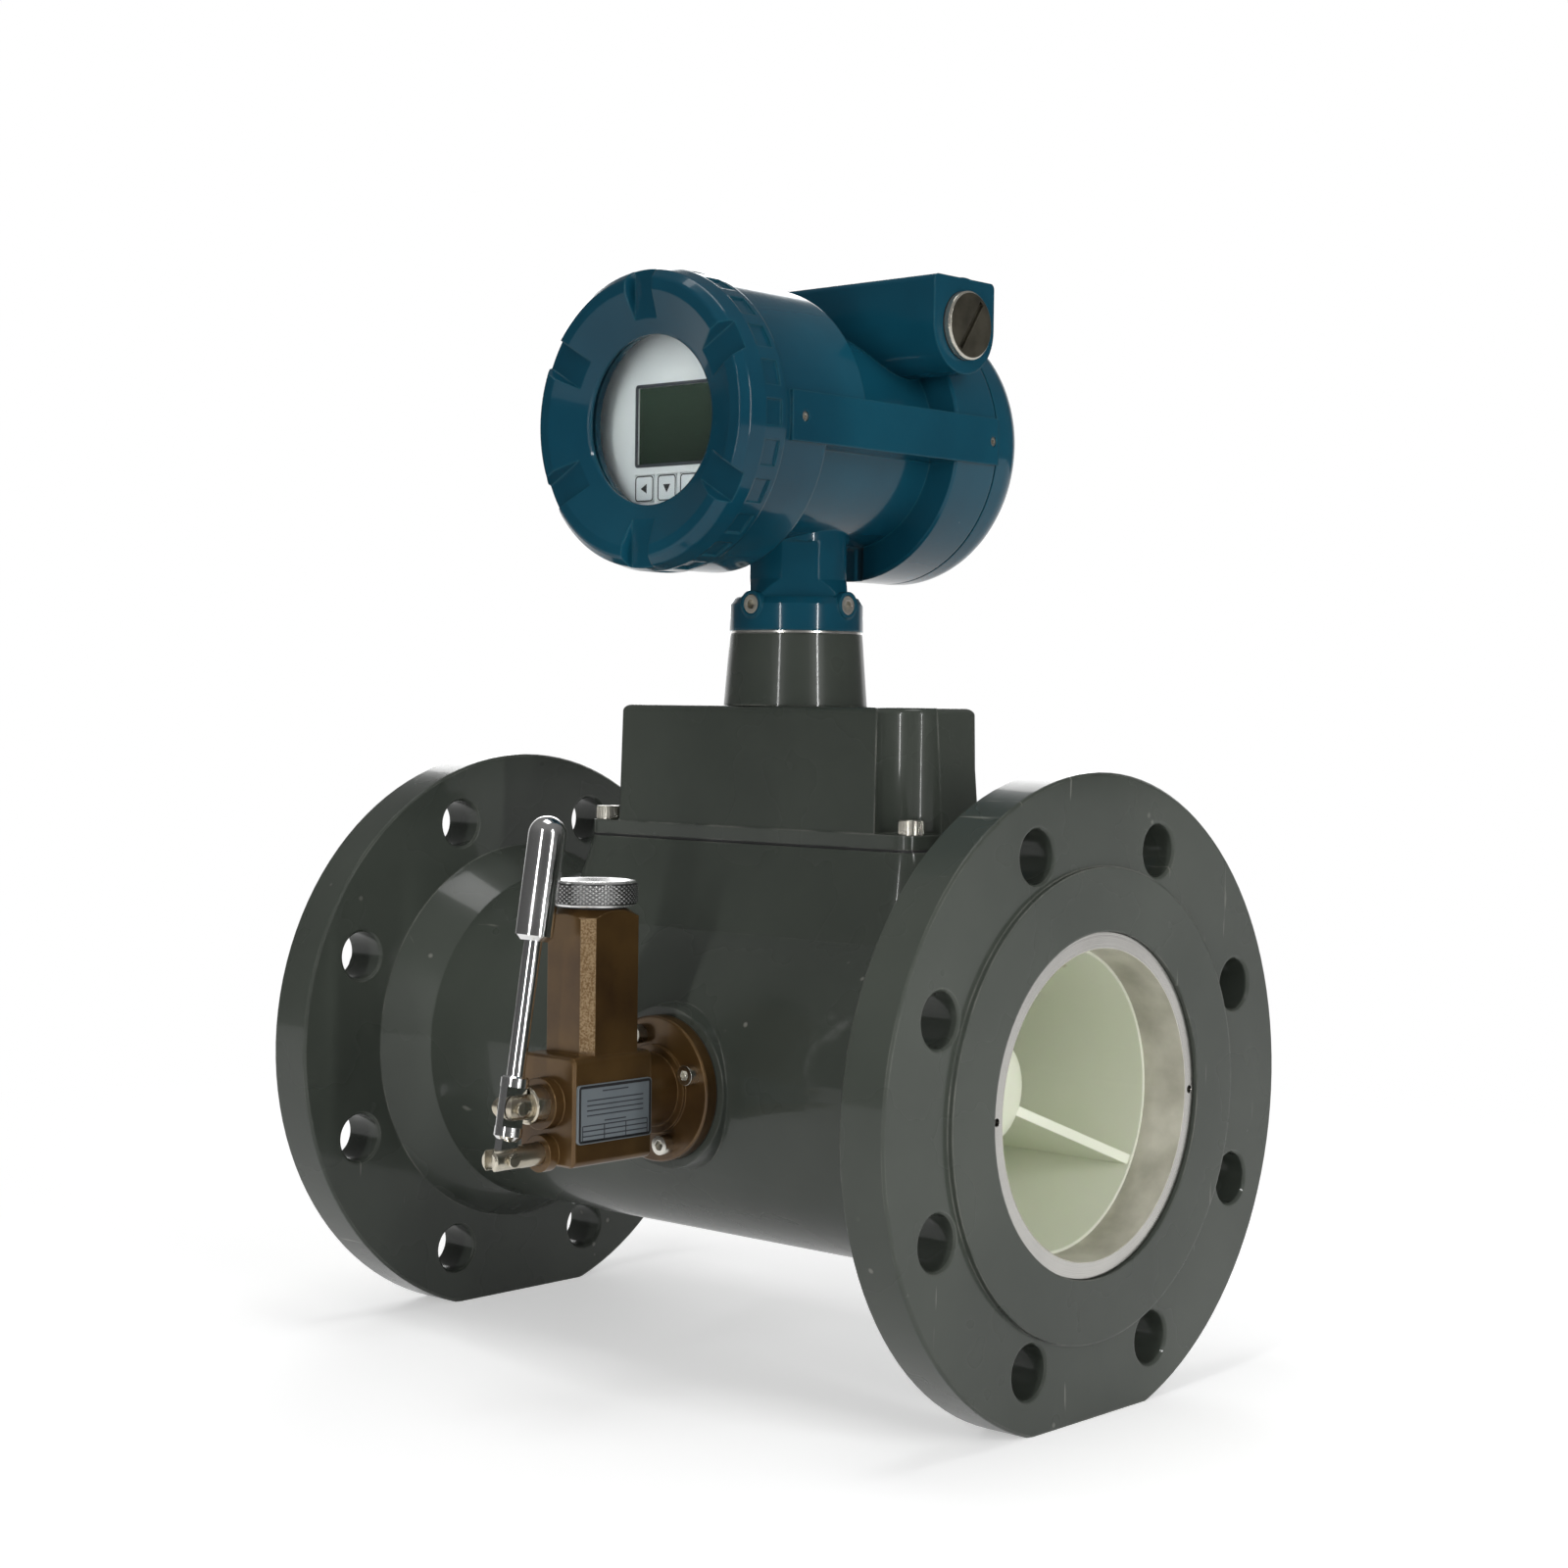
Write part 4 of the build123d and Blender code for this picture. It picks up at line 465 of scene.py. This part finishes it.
# light and dark colour, the roughness, and what differs from the usual
plastics = {
    "panel_plastic": ("panelPlastic", (0.8, 0.82, 0.83, 1), (0.74, 0.76, 0.78, 1), 0.35, {}),
    "frame_plastic": ("framePlastic", (0.03, 0.03, 0.034, 1), (0.02, 0.02, 0.022, 1), 0.5, {}),
    "key_plastic": ("keyPlastic", (0.8, 0.82, 0.84, 1), (0.72, 0.75, 0.78, 1), 0.32, {}),
    "seal_rubber": ("sealRubber", (0.02, 0.02, 0.021, 1), (0.012, 0.012, 0.012, 1), 0.6, {"bump": 0.2}),
}
finishes = {
    "body_paint": spoolPaint(),
    "head_paint": headPaint(),
    "guide_plastic": guidePlastic(),
    "machined_steel": ringSteel(),
    "pump_bronze": pumpBronze(),
    "plug_metal": plugMetal(),
    "screen_glass": screenGlass(),
    "window_glass": windowGlass(),
    "board_green": circuitGreen(),
    "cap_aluminium": capAluminium(),
}
for make, table in ((plainMetal, metals), (plastic, plastics)):
    for slot, (*values, unusual) in table.items():
        finishes[slot] = make(*values, **unusual)
inkBlack = plastic("inkBlack", (0.012, 0.012, 0.014, 1), (0.02, 0.02, 0.02, 1), 0.45)
inkGrey = plastic("inkGrey", (0.045, 0.05, 0.06, 1), (0.03, 0.035, 0.045, 1), 0.5)
slotOf = {s["node"]: s["material_slot"] for s in frame["record"]["subparts"]}
for name, obj in nodes.items():
    if not obj.material_slots:
        obj.data.materials.append(finishes[slotOf[name]])
    for slot in obj.material_slots:
        slot.material = finishes[slotOf[name]]
print("materials:", len(finishes))


def newGeometryTree(name, **inputs):
    tree = bpy.data.node_groups.new(name, "GeometryNodeTree")
    tree.interface.new_socket("Geometry", in_out="INPUT", socket_type="NodeSocketGeometry")
    for label, kind in {**inputs, "Finish": "Material"}.items():
        tree.interface.new_socket(label, in_out="INPUT", socket_type="NodeSocket" + kind)
    tree.interface.new_socket("Geometry", in_out="OUTPUT", socket_type="NodeSocketGeometry")
    g = Tree(tree)
    return g, g.node("NodeGroupInput").outputs, g.node("NodeGroupOutput").inputs


def applyTree(name, tree, values, material):
    obj = linkObject(name, bpy.data.meshes.new(name))
    modifier = obj.modifiers.new(name, "NODES")
    modifier.node_group = tree
    values = {**values, "Finish": material}
    for item in tree.interface.items_tree:
        if item.item_type == "SOCKET" and item.in_out == "INPUT" and item.name in values:
            modifier[item.identifier] = values[item.name]
    return bakeNodes(obj, name)


def finishTree(g, geometry, start, end):
    # every tree ends in real faces with their finish
    real = g.node("GeometryNodeRealizeInstances")
    paint = g.node("GeometryNodeSetMaterial")
    g.link(geometry, real.inputs[0])
    g.link(real.outputs[0], paint.inputs["Geometry"])
    g.link(start["Finish"], paint.inputs["Material"])
    g.link(paint.outputs[0], end[0])
    return g.tree


def copiesOn(g, points, piece):
    copies = g.node("GeometryNodeInstanceOnPoints")
    g.link(points.outputs["Mesh"], copies.inputs["Points"])
    g.link(piece.outputs["Mesh"], copies.inputs["Instance"])
    return copies.outputs[0]


def knurlTree():
    # a grid of unit size rolled into a band, raised into diamonds
    rimFade = 14.0
    g, start, end = newGeometryTree("knurlBand", Radius="Float", Height="Float", Depth="Float", Around="Float",
                                    Rows="Float", StepsAround="Int", StepsUp="Int")
    grid = g.node("GeometryNodeMeshGrid")
    for label, value in (("Size X", 1.0), ("Size Y", 1.0), ("Vertices X", start["StepsAround"]),
                         ("Vertices Y", start["StepsUp"])):
        g.feed(grid.inputs[label], value)
    place = g.splitAxes(g.node("GeometryNodeInputPosition").outputs[0])
    u = g.math("ADD", place[0], 0.5)
    v = g.math("ADD", place[1], 0.5)
    around = g.math("MULTIPLY", u, start["Around"])
    up = g.math("MULTIPLY", v, start["Rows"])
    ridge = []
    for operation in ("ADD", "SUBTRACT"):
        wave = g.math("PINGPONG", g.math(operation, around, up), 0.5)
        ridge.append(g.math("MULTIPLY", wave, 2.0))
    height = g.math("MINIMUM", *ridge)
    # the pattern fades at both rims
    fade = g.math("MINIMUM", g.math("MULTIPLY", v, rimFade),
                  g.math("MULTIPLY", g.math("SUBTRACT", 1.0, v), rimFade))
    fade = g.math("MINIMUM", fade, 1.0)
    lift = g.math("MULTIPLY", g.math("MULTIPLY", height, fade), start["Depth"])
    r = g.math("SUBTRACT", start["Radius"], g.math("SUBTRACT", start["Depth"], lift))
    angle = g.math("MULTIPLY", u, 2 * math.pi)
    joined = g.node("ShaderNodeCombineXYZ")
    g.link(g.math("MULTIPLY", r, g.math("COSINE", angle)), joined.inputs[0])
    g.link(g.math("MULTIPLY", r, g.math("SINE", angle)), joined.inputs[1])
    g.link(g.math("MULTIPLY", v, start["Height"]), joined.inputs[2])
    move = g.node("GeometryNodeSetPosition")
    g.link(grid.outputs["Mesh"], move.inputs["Geometry"])
    g.link(joined.outputs[0], move.inputs["Position"])
    return finishTree(g, move.outputs[0], start, end)


def stripTree():
    # rows of short bars on a flat plate
    g, start, end = newGeometryTree("ruledLines", Count="Int", Pitch="Float", Length="Float", Width="Float",
                                    Thickness="Float")
    line = g.node("GeometryNodeMeshLine")
    g.link(start["Count"], line.inputs["Count"])
    step = g.node("ShaderNodeCombineXYZ")
    g.link(g.math("MULTIPLY", start["Pitch"], -1.0), step.inputs[2])
    g.link(step.outputs[0], line.inputs["Offset"])
    bar = g.node("GeometryNodeMeshCube")
    size = g.node("ShaderNodeCombineXYZ")
    for socket, label in zip(size.inputs, ("Thickness", "Length", "Width")):
        g.link(start[label], socket)
    g.link(size.outputs[0], bar.inputs["Size"])
    return finishTree(g, copiesOn(g, line, bar), start, end)


def ridgeTree():
    # upright ridges round a round screw head
    ridgeSides = 6
    g, start, end = newGeometryTree("headRidges", Count="Int", Radius="Float", Height="Float", Ridge="Float")
    circle = g.node("GeometryNodeMeshCircle")
    g.link(start["Count"], circle.inputs["Vertices"])
    g.link(start["Radius"], circle.inputs["Radius"])
    rod = g.node("GeometryNodeMeshCylinder")
    rod.inputs["Vertices"].default_value = ridgeSides
    g.link(start["Ridge"], rod.inputs["Radius"])
    g.link(start["Height"], rod.inputs["Depth"])
    return finishTree(g, copiesOn(g, circle, rod), start, end)


knurlBand = knurlTree()
ruledLines = stripTree()
headRidges = ridgeTree()


def joinInto(name, objects):
    bm = bmesh.new()
    materials = []
    for obj in objects:
        offset = len(materials)
        materials += [m.material for m in obj.material_slots]
        part = obj.data.copy()
        for p in part.polygons:
            p.material_index += offset
        bm.from_mesh(part)
        bpy.data.meshes.remove(part)
    bmesh.ops.remove_doubles(bm, verts=bm.verts, dist=weld["joined"])
    bmesh.ops.recalc_face_normals(bm, faces=bm.faces)
    mesh = bpy.data.meshes.new(name)
    bm.to_mesh(mesh)
    bm.free()
    for m in materials:
        mesh.materials.append(m)
    for obj in objects:
        old = obj.data
        bpy.data.objects.remove(obj)
        if not old.users:
            bpy.data.meshes.remove(old)
    return linkObject(name, mesh)


def latheMesh(name, profile, steps):
    # profile is radius and height, from the middle outwards, turned about Z
    verts, faces = [], []
    count = len(profile)
    for k in range(steps):
        a = 2 * math.pi * k / steps
        verts += [(r * math.cos(a), r * math.sin(a), z) for r, z in profile]
    for k in range(steps):
        n = (k + 1) % steps
        for i in range(count - 1):
            faces.append((k * count + i, n * count + i, n * count + i + 1, k * count + i + 1))
    return meshFrom(name, verts, faces, smooth=True)


def keepSharp(obj, degrees):
    bm = bmesh.new()
    bm.from_mesh(obj.data)
    for e in bm.edges:
        if len(e.link_faces) == 2 and e.calc_face_angle(0) > math.radians(degrees):
            e.smooth = False
    for f in bm.faces:
        f.smooth = True
    bm.to_mesh(obj.data)
    bm.free()


def fillerCap():
    cap = {"radius": 0.015, "height": 0.0085, "knurlDepth": 0.0006, "around": 44, "rows": 5.0, "dish": 0.0012,
           "dishRadius": 0.012, "dishSlope": 0.002, "rim": 0.0008, "bevel": 0.0006, "plug": 0.00785,
           "plugDepth": 0.007, "stepsEach": 6, "stepsUp": 31, "crease": 50}
    low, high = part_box("reservoir_cap")
    steps = cap["around"] * cap["stepsEach"]
    band = applyTree("capBand", knurlBand, {
        "Radius": cap["radius"], "Height": cap["height"] - 2 * cap["rim"], "Depth": cap["knurlDepth"],
        "Around": float(cap["around"]), "Rows": cap["rows"], "StepsAround": steps + 1,
        "StepsUp": cap["stepsUp"]}, finishes["cap_aluminium"])
    placeMesh(band, Matrix.Translation((0, 0, cap["rim"])))
    inner, h = cap["radius"] - cap["knurlDepth"], cap["height"]
    dish, plug, depth = h - cap["dish"], cap["plug"], -cap["plugDepth"]
    profiles = {
        "capCrown": [(0.0, dish), (cap["dishRadius"] - cap["dishSlope"], dish), (cap["dishRadius"], h),
                     (inner - cap["bevel"], h), (inner, h - cap["rim"])],
        "capFoot": [(inner, cap["rim"]), (inner - cap["bevel"], 0.0), (plug, 0.0), (plug, depth), (0.0, depth)],
    }
    parts = [band]
    for name, profile in profiles.items():
        parts.append(linkObject(name, latheMesh(name, profile, steps)))
        parts[-1].data.materials.append(finishes["cap_aluminium"])
    piece = joinInto("knurledCap", parts)
    placeMesh(piece, Matrix.Translation(halfway(low, high, z=high[2] - h)))
    keepSharp(piece, cap["crease"])
    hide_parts("reservoir_cap")
    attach(piece, "filler_cap")


def leverShine():
    # smooth chrome over the turned rod, and the grip with its dome
    lever = {"foot": (0.1625, -0.1396, -0.0183), "lean": 9.4, "rod": 0.00303, "rodStart": 0.02705, "grip": 0.00635,
             "gripStart": 0.0715, "gripEnd": 0.113, "bevel": 0.0016, "steps": 72, "row": 0.0025,
             "domeAngles": (10, 91, 8), "crease": 30}
    place = Matrix.Translation(lever["foot"]) @ Matrix.Rotation(-math.radians(lever["lean"]), 4, "X")
    r, z0, z1 = lever["rod"], lever["rodStart"], lever["gripStart"]
    rows = round((z1 - z0) / lever["row"])
    rod = [(0.0, z0)] + [(r, z0 + (z1 - z0) * k / rows) for k in range(rows + 1)] + [(0.0, z1)]
    r, z2 = lever["grip"], lever["gripEnd"] - lever["grip"]
    rows = round((z2 - z1) / lever["row"])
    low = z1 + lever["bevel"]
    grip = [(0.0, z1), (r - lever["bevel"], z1)] + [(r, low + (z2 - low) * k / rows) for k in range(rows + 1)]
    for a in range(*lever["domeAngles"]):
        grip.append((r * math.cos(math.radians(a)), z2 + r * math.sin(math.radians(a))))
    for name, profile in (("leverRod", rod), ("gripShell", grip)):
        piece = linkObject(name, latheMesh(name, profile, lever["steps"]))
        placeMesh(piece, place)
        keepSharp(piece, lever["crease"])
        piece.data.materials.append(finishes["lever_chrome"])
        if name == "gripShell":
            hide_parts("lever_grip")
        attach(piece, "hand_lever")


def screwRidges():
    # knurled heads on the box screws
    screw = {"headRadius": 0.0042, "headHeight": 0.0042, "belowTop": 0.0004, "ridge": 0.00022, "sunk": 0.4,
             "count": 30, "dx": 0.0733, "dy": 0.0225, "x": 0.1625}
    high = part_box("box_screws")[1]
    middleHeight = high[2] - screw["belowTop"] - screw["headHeight"] / 2
    parts = []
    for sx in (-1, 1):
        for sy in (-1, 1):
            ridges = applyTree("boxRidges", headRidges, {
                "Count": screw["count"], "Radius": screw["headRadius"] - screw["ridge"] * screw["sunk"],
                "Height": screw["headHeight"], "Ridge": screw["ridge"]}, finishes["screw_steel"])
            spot = (screw["x"] + sx * screw["dx"], sy * screw["dy"], middleHeight)
            placeMesh(ridges, Matrix.Translation(spot))
            parts.append(ridges)
    piece = joinInto("boxScrewRidges", parts)
    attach(piece, "meter")


def prism(name, outline, normal, across, up, origin, thickness, material):
    # a flat shape from outline points on a plane
    verts = [origin + across * a + up * b + normal * layer for layer in (0.0, thickness) for a, b in outline]
    n = len(outline)
    faces = [tuple(range(n))[::-1], tuple(range(n, 2 * n))]
    for i in range(n):
        j = (i + 1) % n
        faces.append((i, j, n + j, n + i))
    obj = linkObject(name, meshFrom(name, verts, faces))
    obj.data.materials.append(material)
    return obj


def roundedLoop(width, height, radius):
    steps = 6
    points = []
    for cx, cy, start in ((1, 1, 0), (-1, 1, 90), (-1, -1, 180), (1, -1, 270)):
        for k in range(steps + 1):
            a = math.radians(start + 90 * k / steps)
            points.append((cx * (width / 2 - radius) + radius * math.cos(a),
                           cy * (height / 2 - radius) + radius * math.sin(a)))
    return points


def outlineRing(name, width, height, radius, line, normal, across, up, origin, thickness, material):
    # a flat frame with rounded corners on a plane
    leastRadius = 1e-5
    outer = roundedLoop(width, height, radius)
    inner = roundedLoop(width - 2 * line, height - 2 * line, max(radius - line, leastRadius))
    n = len(outer)
    verts, faces = [], []
    for loop in (outer, inner):
        for layer in (0.0, thickness):
            verts += [origin + across * a + up * b + normal * layer for a, b in loop]
    for i in range(n):
        j = (i + 1) % n
        faces.append((i, j, n + j, n + i))
        faces.append((2 * n + j, 2 * n + i, 3 * n + i, 3 * n + j))
        faces.append((n + i, n + j, 3 * n + j, 3 * n + i))
        faces.append((j, i, 2 * n + i, 2 * n + j))
    obj = linkObject(name, meshFrom(name, verts, faces))
    obj.data.materials.append(material)
    return obj


front = {"normal": Vector((0, -1, 0)), "across": Vector((1, 0, 0)), "up": Vector((0, 0, 1))}
side = {"normal": Vector((1, 0, 0)), "across": Vector((0, 1, 0)), "up": Vector((0, 0, 1))}


def keyMarks():
    keys = {"key_left": "left_key", "key_down": "down_key", "key_up": "up_key", "key_enter": "enter_key"}
    mark = {"size": 0.0017, "thickness": 0.00008, "ring": (0.0088, 0.009), "radius": 0.0014, "line": 0.00045}
    # outlines in shares of the mark's size
    arrows = {
        "key_left": [(-1, 0), (0.7, -1), (0.7, 1)],
        "key_down": [(0, -1), (1, 0.7), (-1, 0.7)],
        "key_up": [(0, 1), (-1, -0.7), (1, -0.7)],
        "key_enter": [(-1.3, -0.3), (-0.5, -1.0), (-0.5, -0.55), (1, -0.55), (1, 1), (0.6, 1), (0.6, -0.1),
                      (-0.5, -0.1), (-0.5, 0.4)],
    }
    for node, body in keys.items():
        low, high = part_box(node)
        flat = {"origin": halfway(low, high, y=low[1]) - front["normal"] * markSink,
                "thickness": mark["thickness"], "material": inkBlack, **front}
        outline = [(a * mark["size"], b * mark["size"]) for a, b in arrows[node]]
        arrow = prism(node + "Arrow", outline, **flat)
        ring = outlineRing(node + "Ring", *mark["ring"], mark["radius"], mark["line"], **flat)
        piece = joinInto(node.replace("key_", "mark_"), [arrow, ring])
        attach(piece, body)


def screenRim():
    rim = {"line": 0.0011, "gap": 0.0001, "radius": 0.0012, "thickness": 0.00035}
    low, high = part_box("screen")
    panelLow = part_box("display_panel")[0]
    grow = 2 * (rim["gap"] + rim["line"])
    piece = outlineRing("screenRim", high[0] - low[0] + grow, high[2] - low[2] + grow, rim["radius"], rim["line"],
                        origin=halfway(low, high, y=panelLow[1]) - front["normal"] * markSink,
                        thickness=rim["thickness"], material=inkGrey, **front)
    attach(piece, "head")


def plateMarks():
    plate = {"border": 0.0009, "inset": 0.0003, "radius": 0.0012, "thickness": 0.00008, "lineWidth": 0.00042,
             "columns": 4, "firstColumn": -0.015, "columnPitch": 0.01, "columnLength": 0.0051,
             "columnHeight": -0.00635}
    low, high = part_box("nameplate")
    centre = halfway(low, high, x=high[0])
    w, h = high[1] - low[1], high[2] - low[2]
    parts = [outlineRing("plateBorder", w - 2 * plate["inset"], h - 2 * plate["inset"], plate["radius"],
                         plate["border"], origin=centre - side["normal"] * markSink,
                         thickness=plate["thickness"], material=inkBlack, **side)]

    def addBars(name, count, pitch, length, width, shift, height):
        bars = applyTree(name, ruledLines, {
            "Count": count, "Pitch": pitch, "Length": length, "Width": width,
            "Thickness": plate["thickness"]}, inkGrey)
        placeMesh(bars, Matrix.Translation(centre + Vector((plate["thickness"] / 2 - markSink, shift, height))))
        parts.append(bars)

    # count, pitch, length and first height
    for count, pitch, length, height in ((1, 0.0, 0.012, 0.0073), (4, 0.00165, 0.026, 0.0045),
                                         (1, 0.0, 0.010, -0.0026), (4, 0.0017, 0.03, -0.0038)):
        addBars("plateRows", count, pitch, length, plate["lineWidth"], 0.0, height)
    for k in range(plate["columns"]):
        addBars("plateColumns", 1, 0.0, plate["lineWidth"], plate["columnLength"],
                plate["firstColumn"] + plate["columnPitch"] * k, plate["columnHeight"])
    piece = joinInto("plateMarks", parts)
    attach(piece, "meter")


fillerCap()
leverShine()
screwRidges()
keyMarks()
screenRim()
plateMarks()
print("pieces made")

studio = {
    "cameraAt": (0.8093, -0.7277, 0.1299), "azimuth": 41.85, "elevation": 1.63, "roll": 0.78, "lens": 61.53,
    "sensor": 36.0, "floorColour": (0.86, 0.86, 0.86, 1), "floorRough": 0.9, "floorSize": 6.0, "floorLift": 0.42,
    "floorFade": (0.2, 0.75), "ambient": 0.32, "mirror": (0.1, 0.22), "mirrorHeights": (0.1, 0.75),
    "backdropEdge": (0.7, 0.85), "backdropTop": (0.35, 0.6),
}
middle = Vector((0.157, 0.0, 0.10))


def makeFloor():
    size, z = studio["floorSize"], cadBox[0][2]
    corners = [(sx * size, sy * size, z) for sx, sy in ((-1, -1), (1, -1), (1, 1), (-1, 1))]
    floor = linkObject("floor", meshFrom("floor", corners, [(0, 1, 2, 3)]))
    f = Finish("floorWhite")
    f.set(colour=studio["floorColour"], rough=studio["floorRough"])
    path = f.node("ShaderNodeLightPath")
    seen = f.math("MAXIMUM", path.outputs["Is Camera Ray"], path.outputs["Is Glossy Ray"])
    seen = f.math("MAXIMUM", seen, path.outputs["Is Transmission Ray"])
    # the floor is lit near the meter and turns plain white further off
    glow = f.node("ShaderNodeEmission")
    f.link(f.math("MULTIPLY", seen, studio["floorLift"]), glow.inputs["Strength"])
    both = f.node("ShaderNodeAddShader")
    f.link(f.shader.outputs[0], both.inputs[0])
    f.link(glow.outputs[0], both.inputs[1])
    white = f.node("ShaderNodeEmission")
    away = f.ramp(f.radius("Z", middle), *studio["floorFade"])
    mixer = f.node("ShaderNodeMixShader")
    f.link(f.math("MULTIPLY", away, seen), mixer.inputs[0])
    f.link(both.outputs[0], mixer.inputs[1])
    f.link(white.outputs[0], mixer.inputs[2])
    f.link(mixer.outputs[0], f.surface)
    floor.data.materials.append(f.material)


def makeWorld():
    world = bpy.data.worlds.new("studioWorld")
    scene.world = world
    world.use_nodes = True
    w = Tree(world.node_tree)
    background = world.node_tree.nodes["Background"]
    background.inputs["Color"].default_value = (1, 1, 1, 1)
    path = w.node("ShaderNodeLightPath").outputs
    toward = w.splitAxes(w.node("ShaderNodeTexCoord").outputs["Generated"])
    # mirrors see the white backdrop behind the meter and a dimmer room elsewhere
    az = math.radians(studio["azimuth"])
    behind = w.math("ADD", w.math("MULTIPLY", toward[0], -math.sin(az)), w.math("MULTIPLY", toward[1], math.cos(az)))
    backdrop = w.math("MULTIPLY", w.ramp(behind, *studio["backdropEdge"]),
                      w.ramp(toward[2], *studio["backdropTop"], 1.0, 0.0))
    mirror = w.math("MAXIMUM", backdrop, w.ramp(toward[2], *studio["mirrorHeights"], *studio["mirror"]))
    shiny = w.math("MAXIMUM", path["Is Glossy Ray"], path["Is Transmission Ray"])
    level = w.math("ADD", w.math("MULTIPLY", shiny, mirror),
                   w.math("MULTIPLY", w.math("SUBTRACT", 1.0, shiny), studio["ambient"]))
    w.link(w.math("MAXIMUM", level, path["Is Camera Ray"]), background.inputs["Strength"])


def around(azimuth, distance, height):
    # a place seen from the meter: azimuth as the camera counts it
    a = math.radians(azimuth)
    return (middle.x + distance * math.sin(a), middle.y - distance * math.cos(a), height)


def makeLamps():
    # place, width and height, power
    lamps = {
        "softboxRight": (around(78, 1.5, 0.45), (0.05, 1.0), 9.5),
        "softboxLeft": (around(14, 1.5, 0.42), (0.055, 1.0), 6),
        "softboxTop": ((0.15, -0.1, 1.6), (0.8, 0.5), 6),
        "softboxBack": (around(225, 1.8, 0.7), (1.0, 1.0), 9),
    }
    for name, (place, size, power) in lamps.items():
        lamp = bpy.data.lights.new(name, "AREA")
        lamp.shape = "RECTANGLE"
        lamp.size, lamp.size_y = size
        lamp.energy = power
        obj = linkObject(name, lamp)
        obj.location = place
        obj.rotation_euler = (middle - Vector(place)).to_track_quat("-Z", "Y").to_euler()


def makeCamera():
    camera = bpy.data.cameras.new("camera")
    camera.lens = studio["lens"]
    camera.sensor_width = studio["sensor"]
    obj = linkObject("camera", camera)
    az, el, roll = (math.radians(studio[k]) for k in ("azimuth", "elevation", "roll"))
    back = Vector((math.sin(az) * math.cos(el), -math.cos(az) * math.cos(el), math.sin(el)))
    right = Vector((math.cos(az), math.sin(az), 0.0))
    up = back.cross(right)
    turnedRight = right * math.cos(roll) + up * math.sin(roll)
    turnedUp = up * math.cos(roll) - right * math.sin(roll)
    rotation = Matrix((turnedRight, turnedUp, back)).transposed()
    obj.matrix_world = Matrix.Translation(studio["cameraAt"]) @ rotation.to_4x4()
    scene.camera = obj


makeFloor()
makeWorld()
makeLamps()
makeCamera()
print("stage ready")
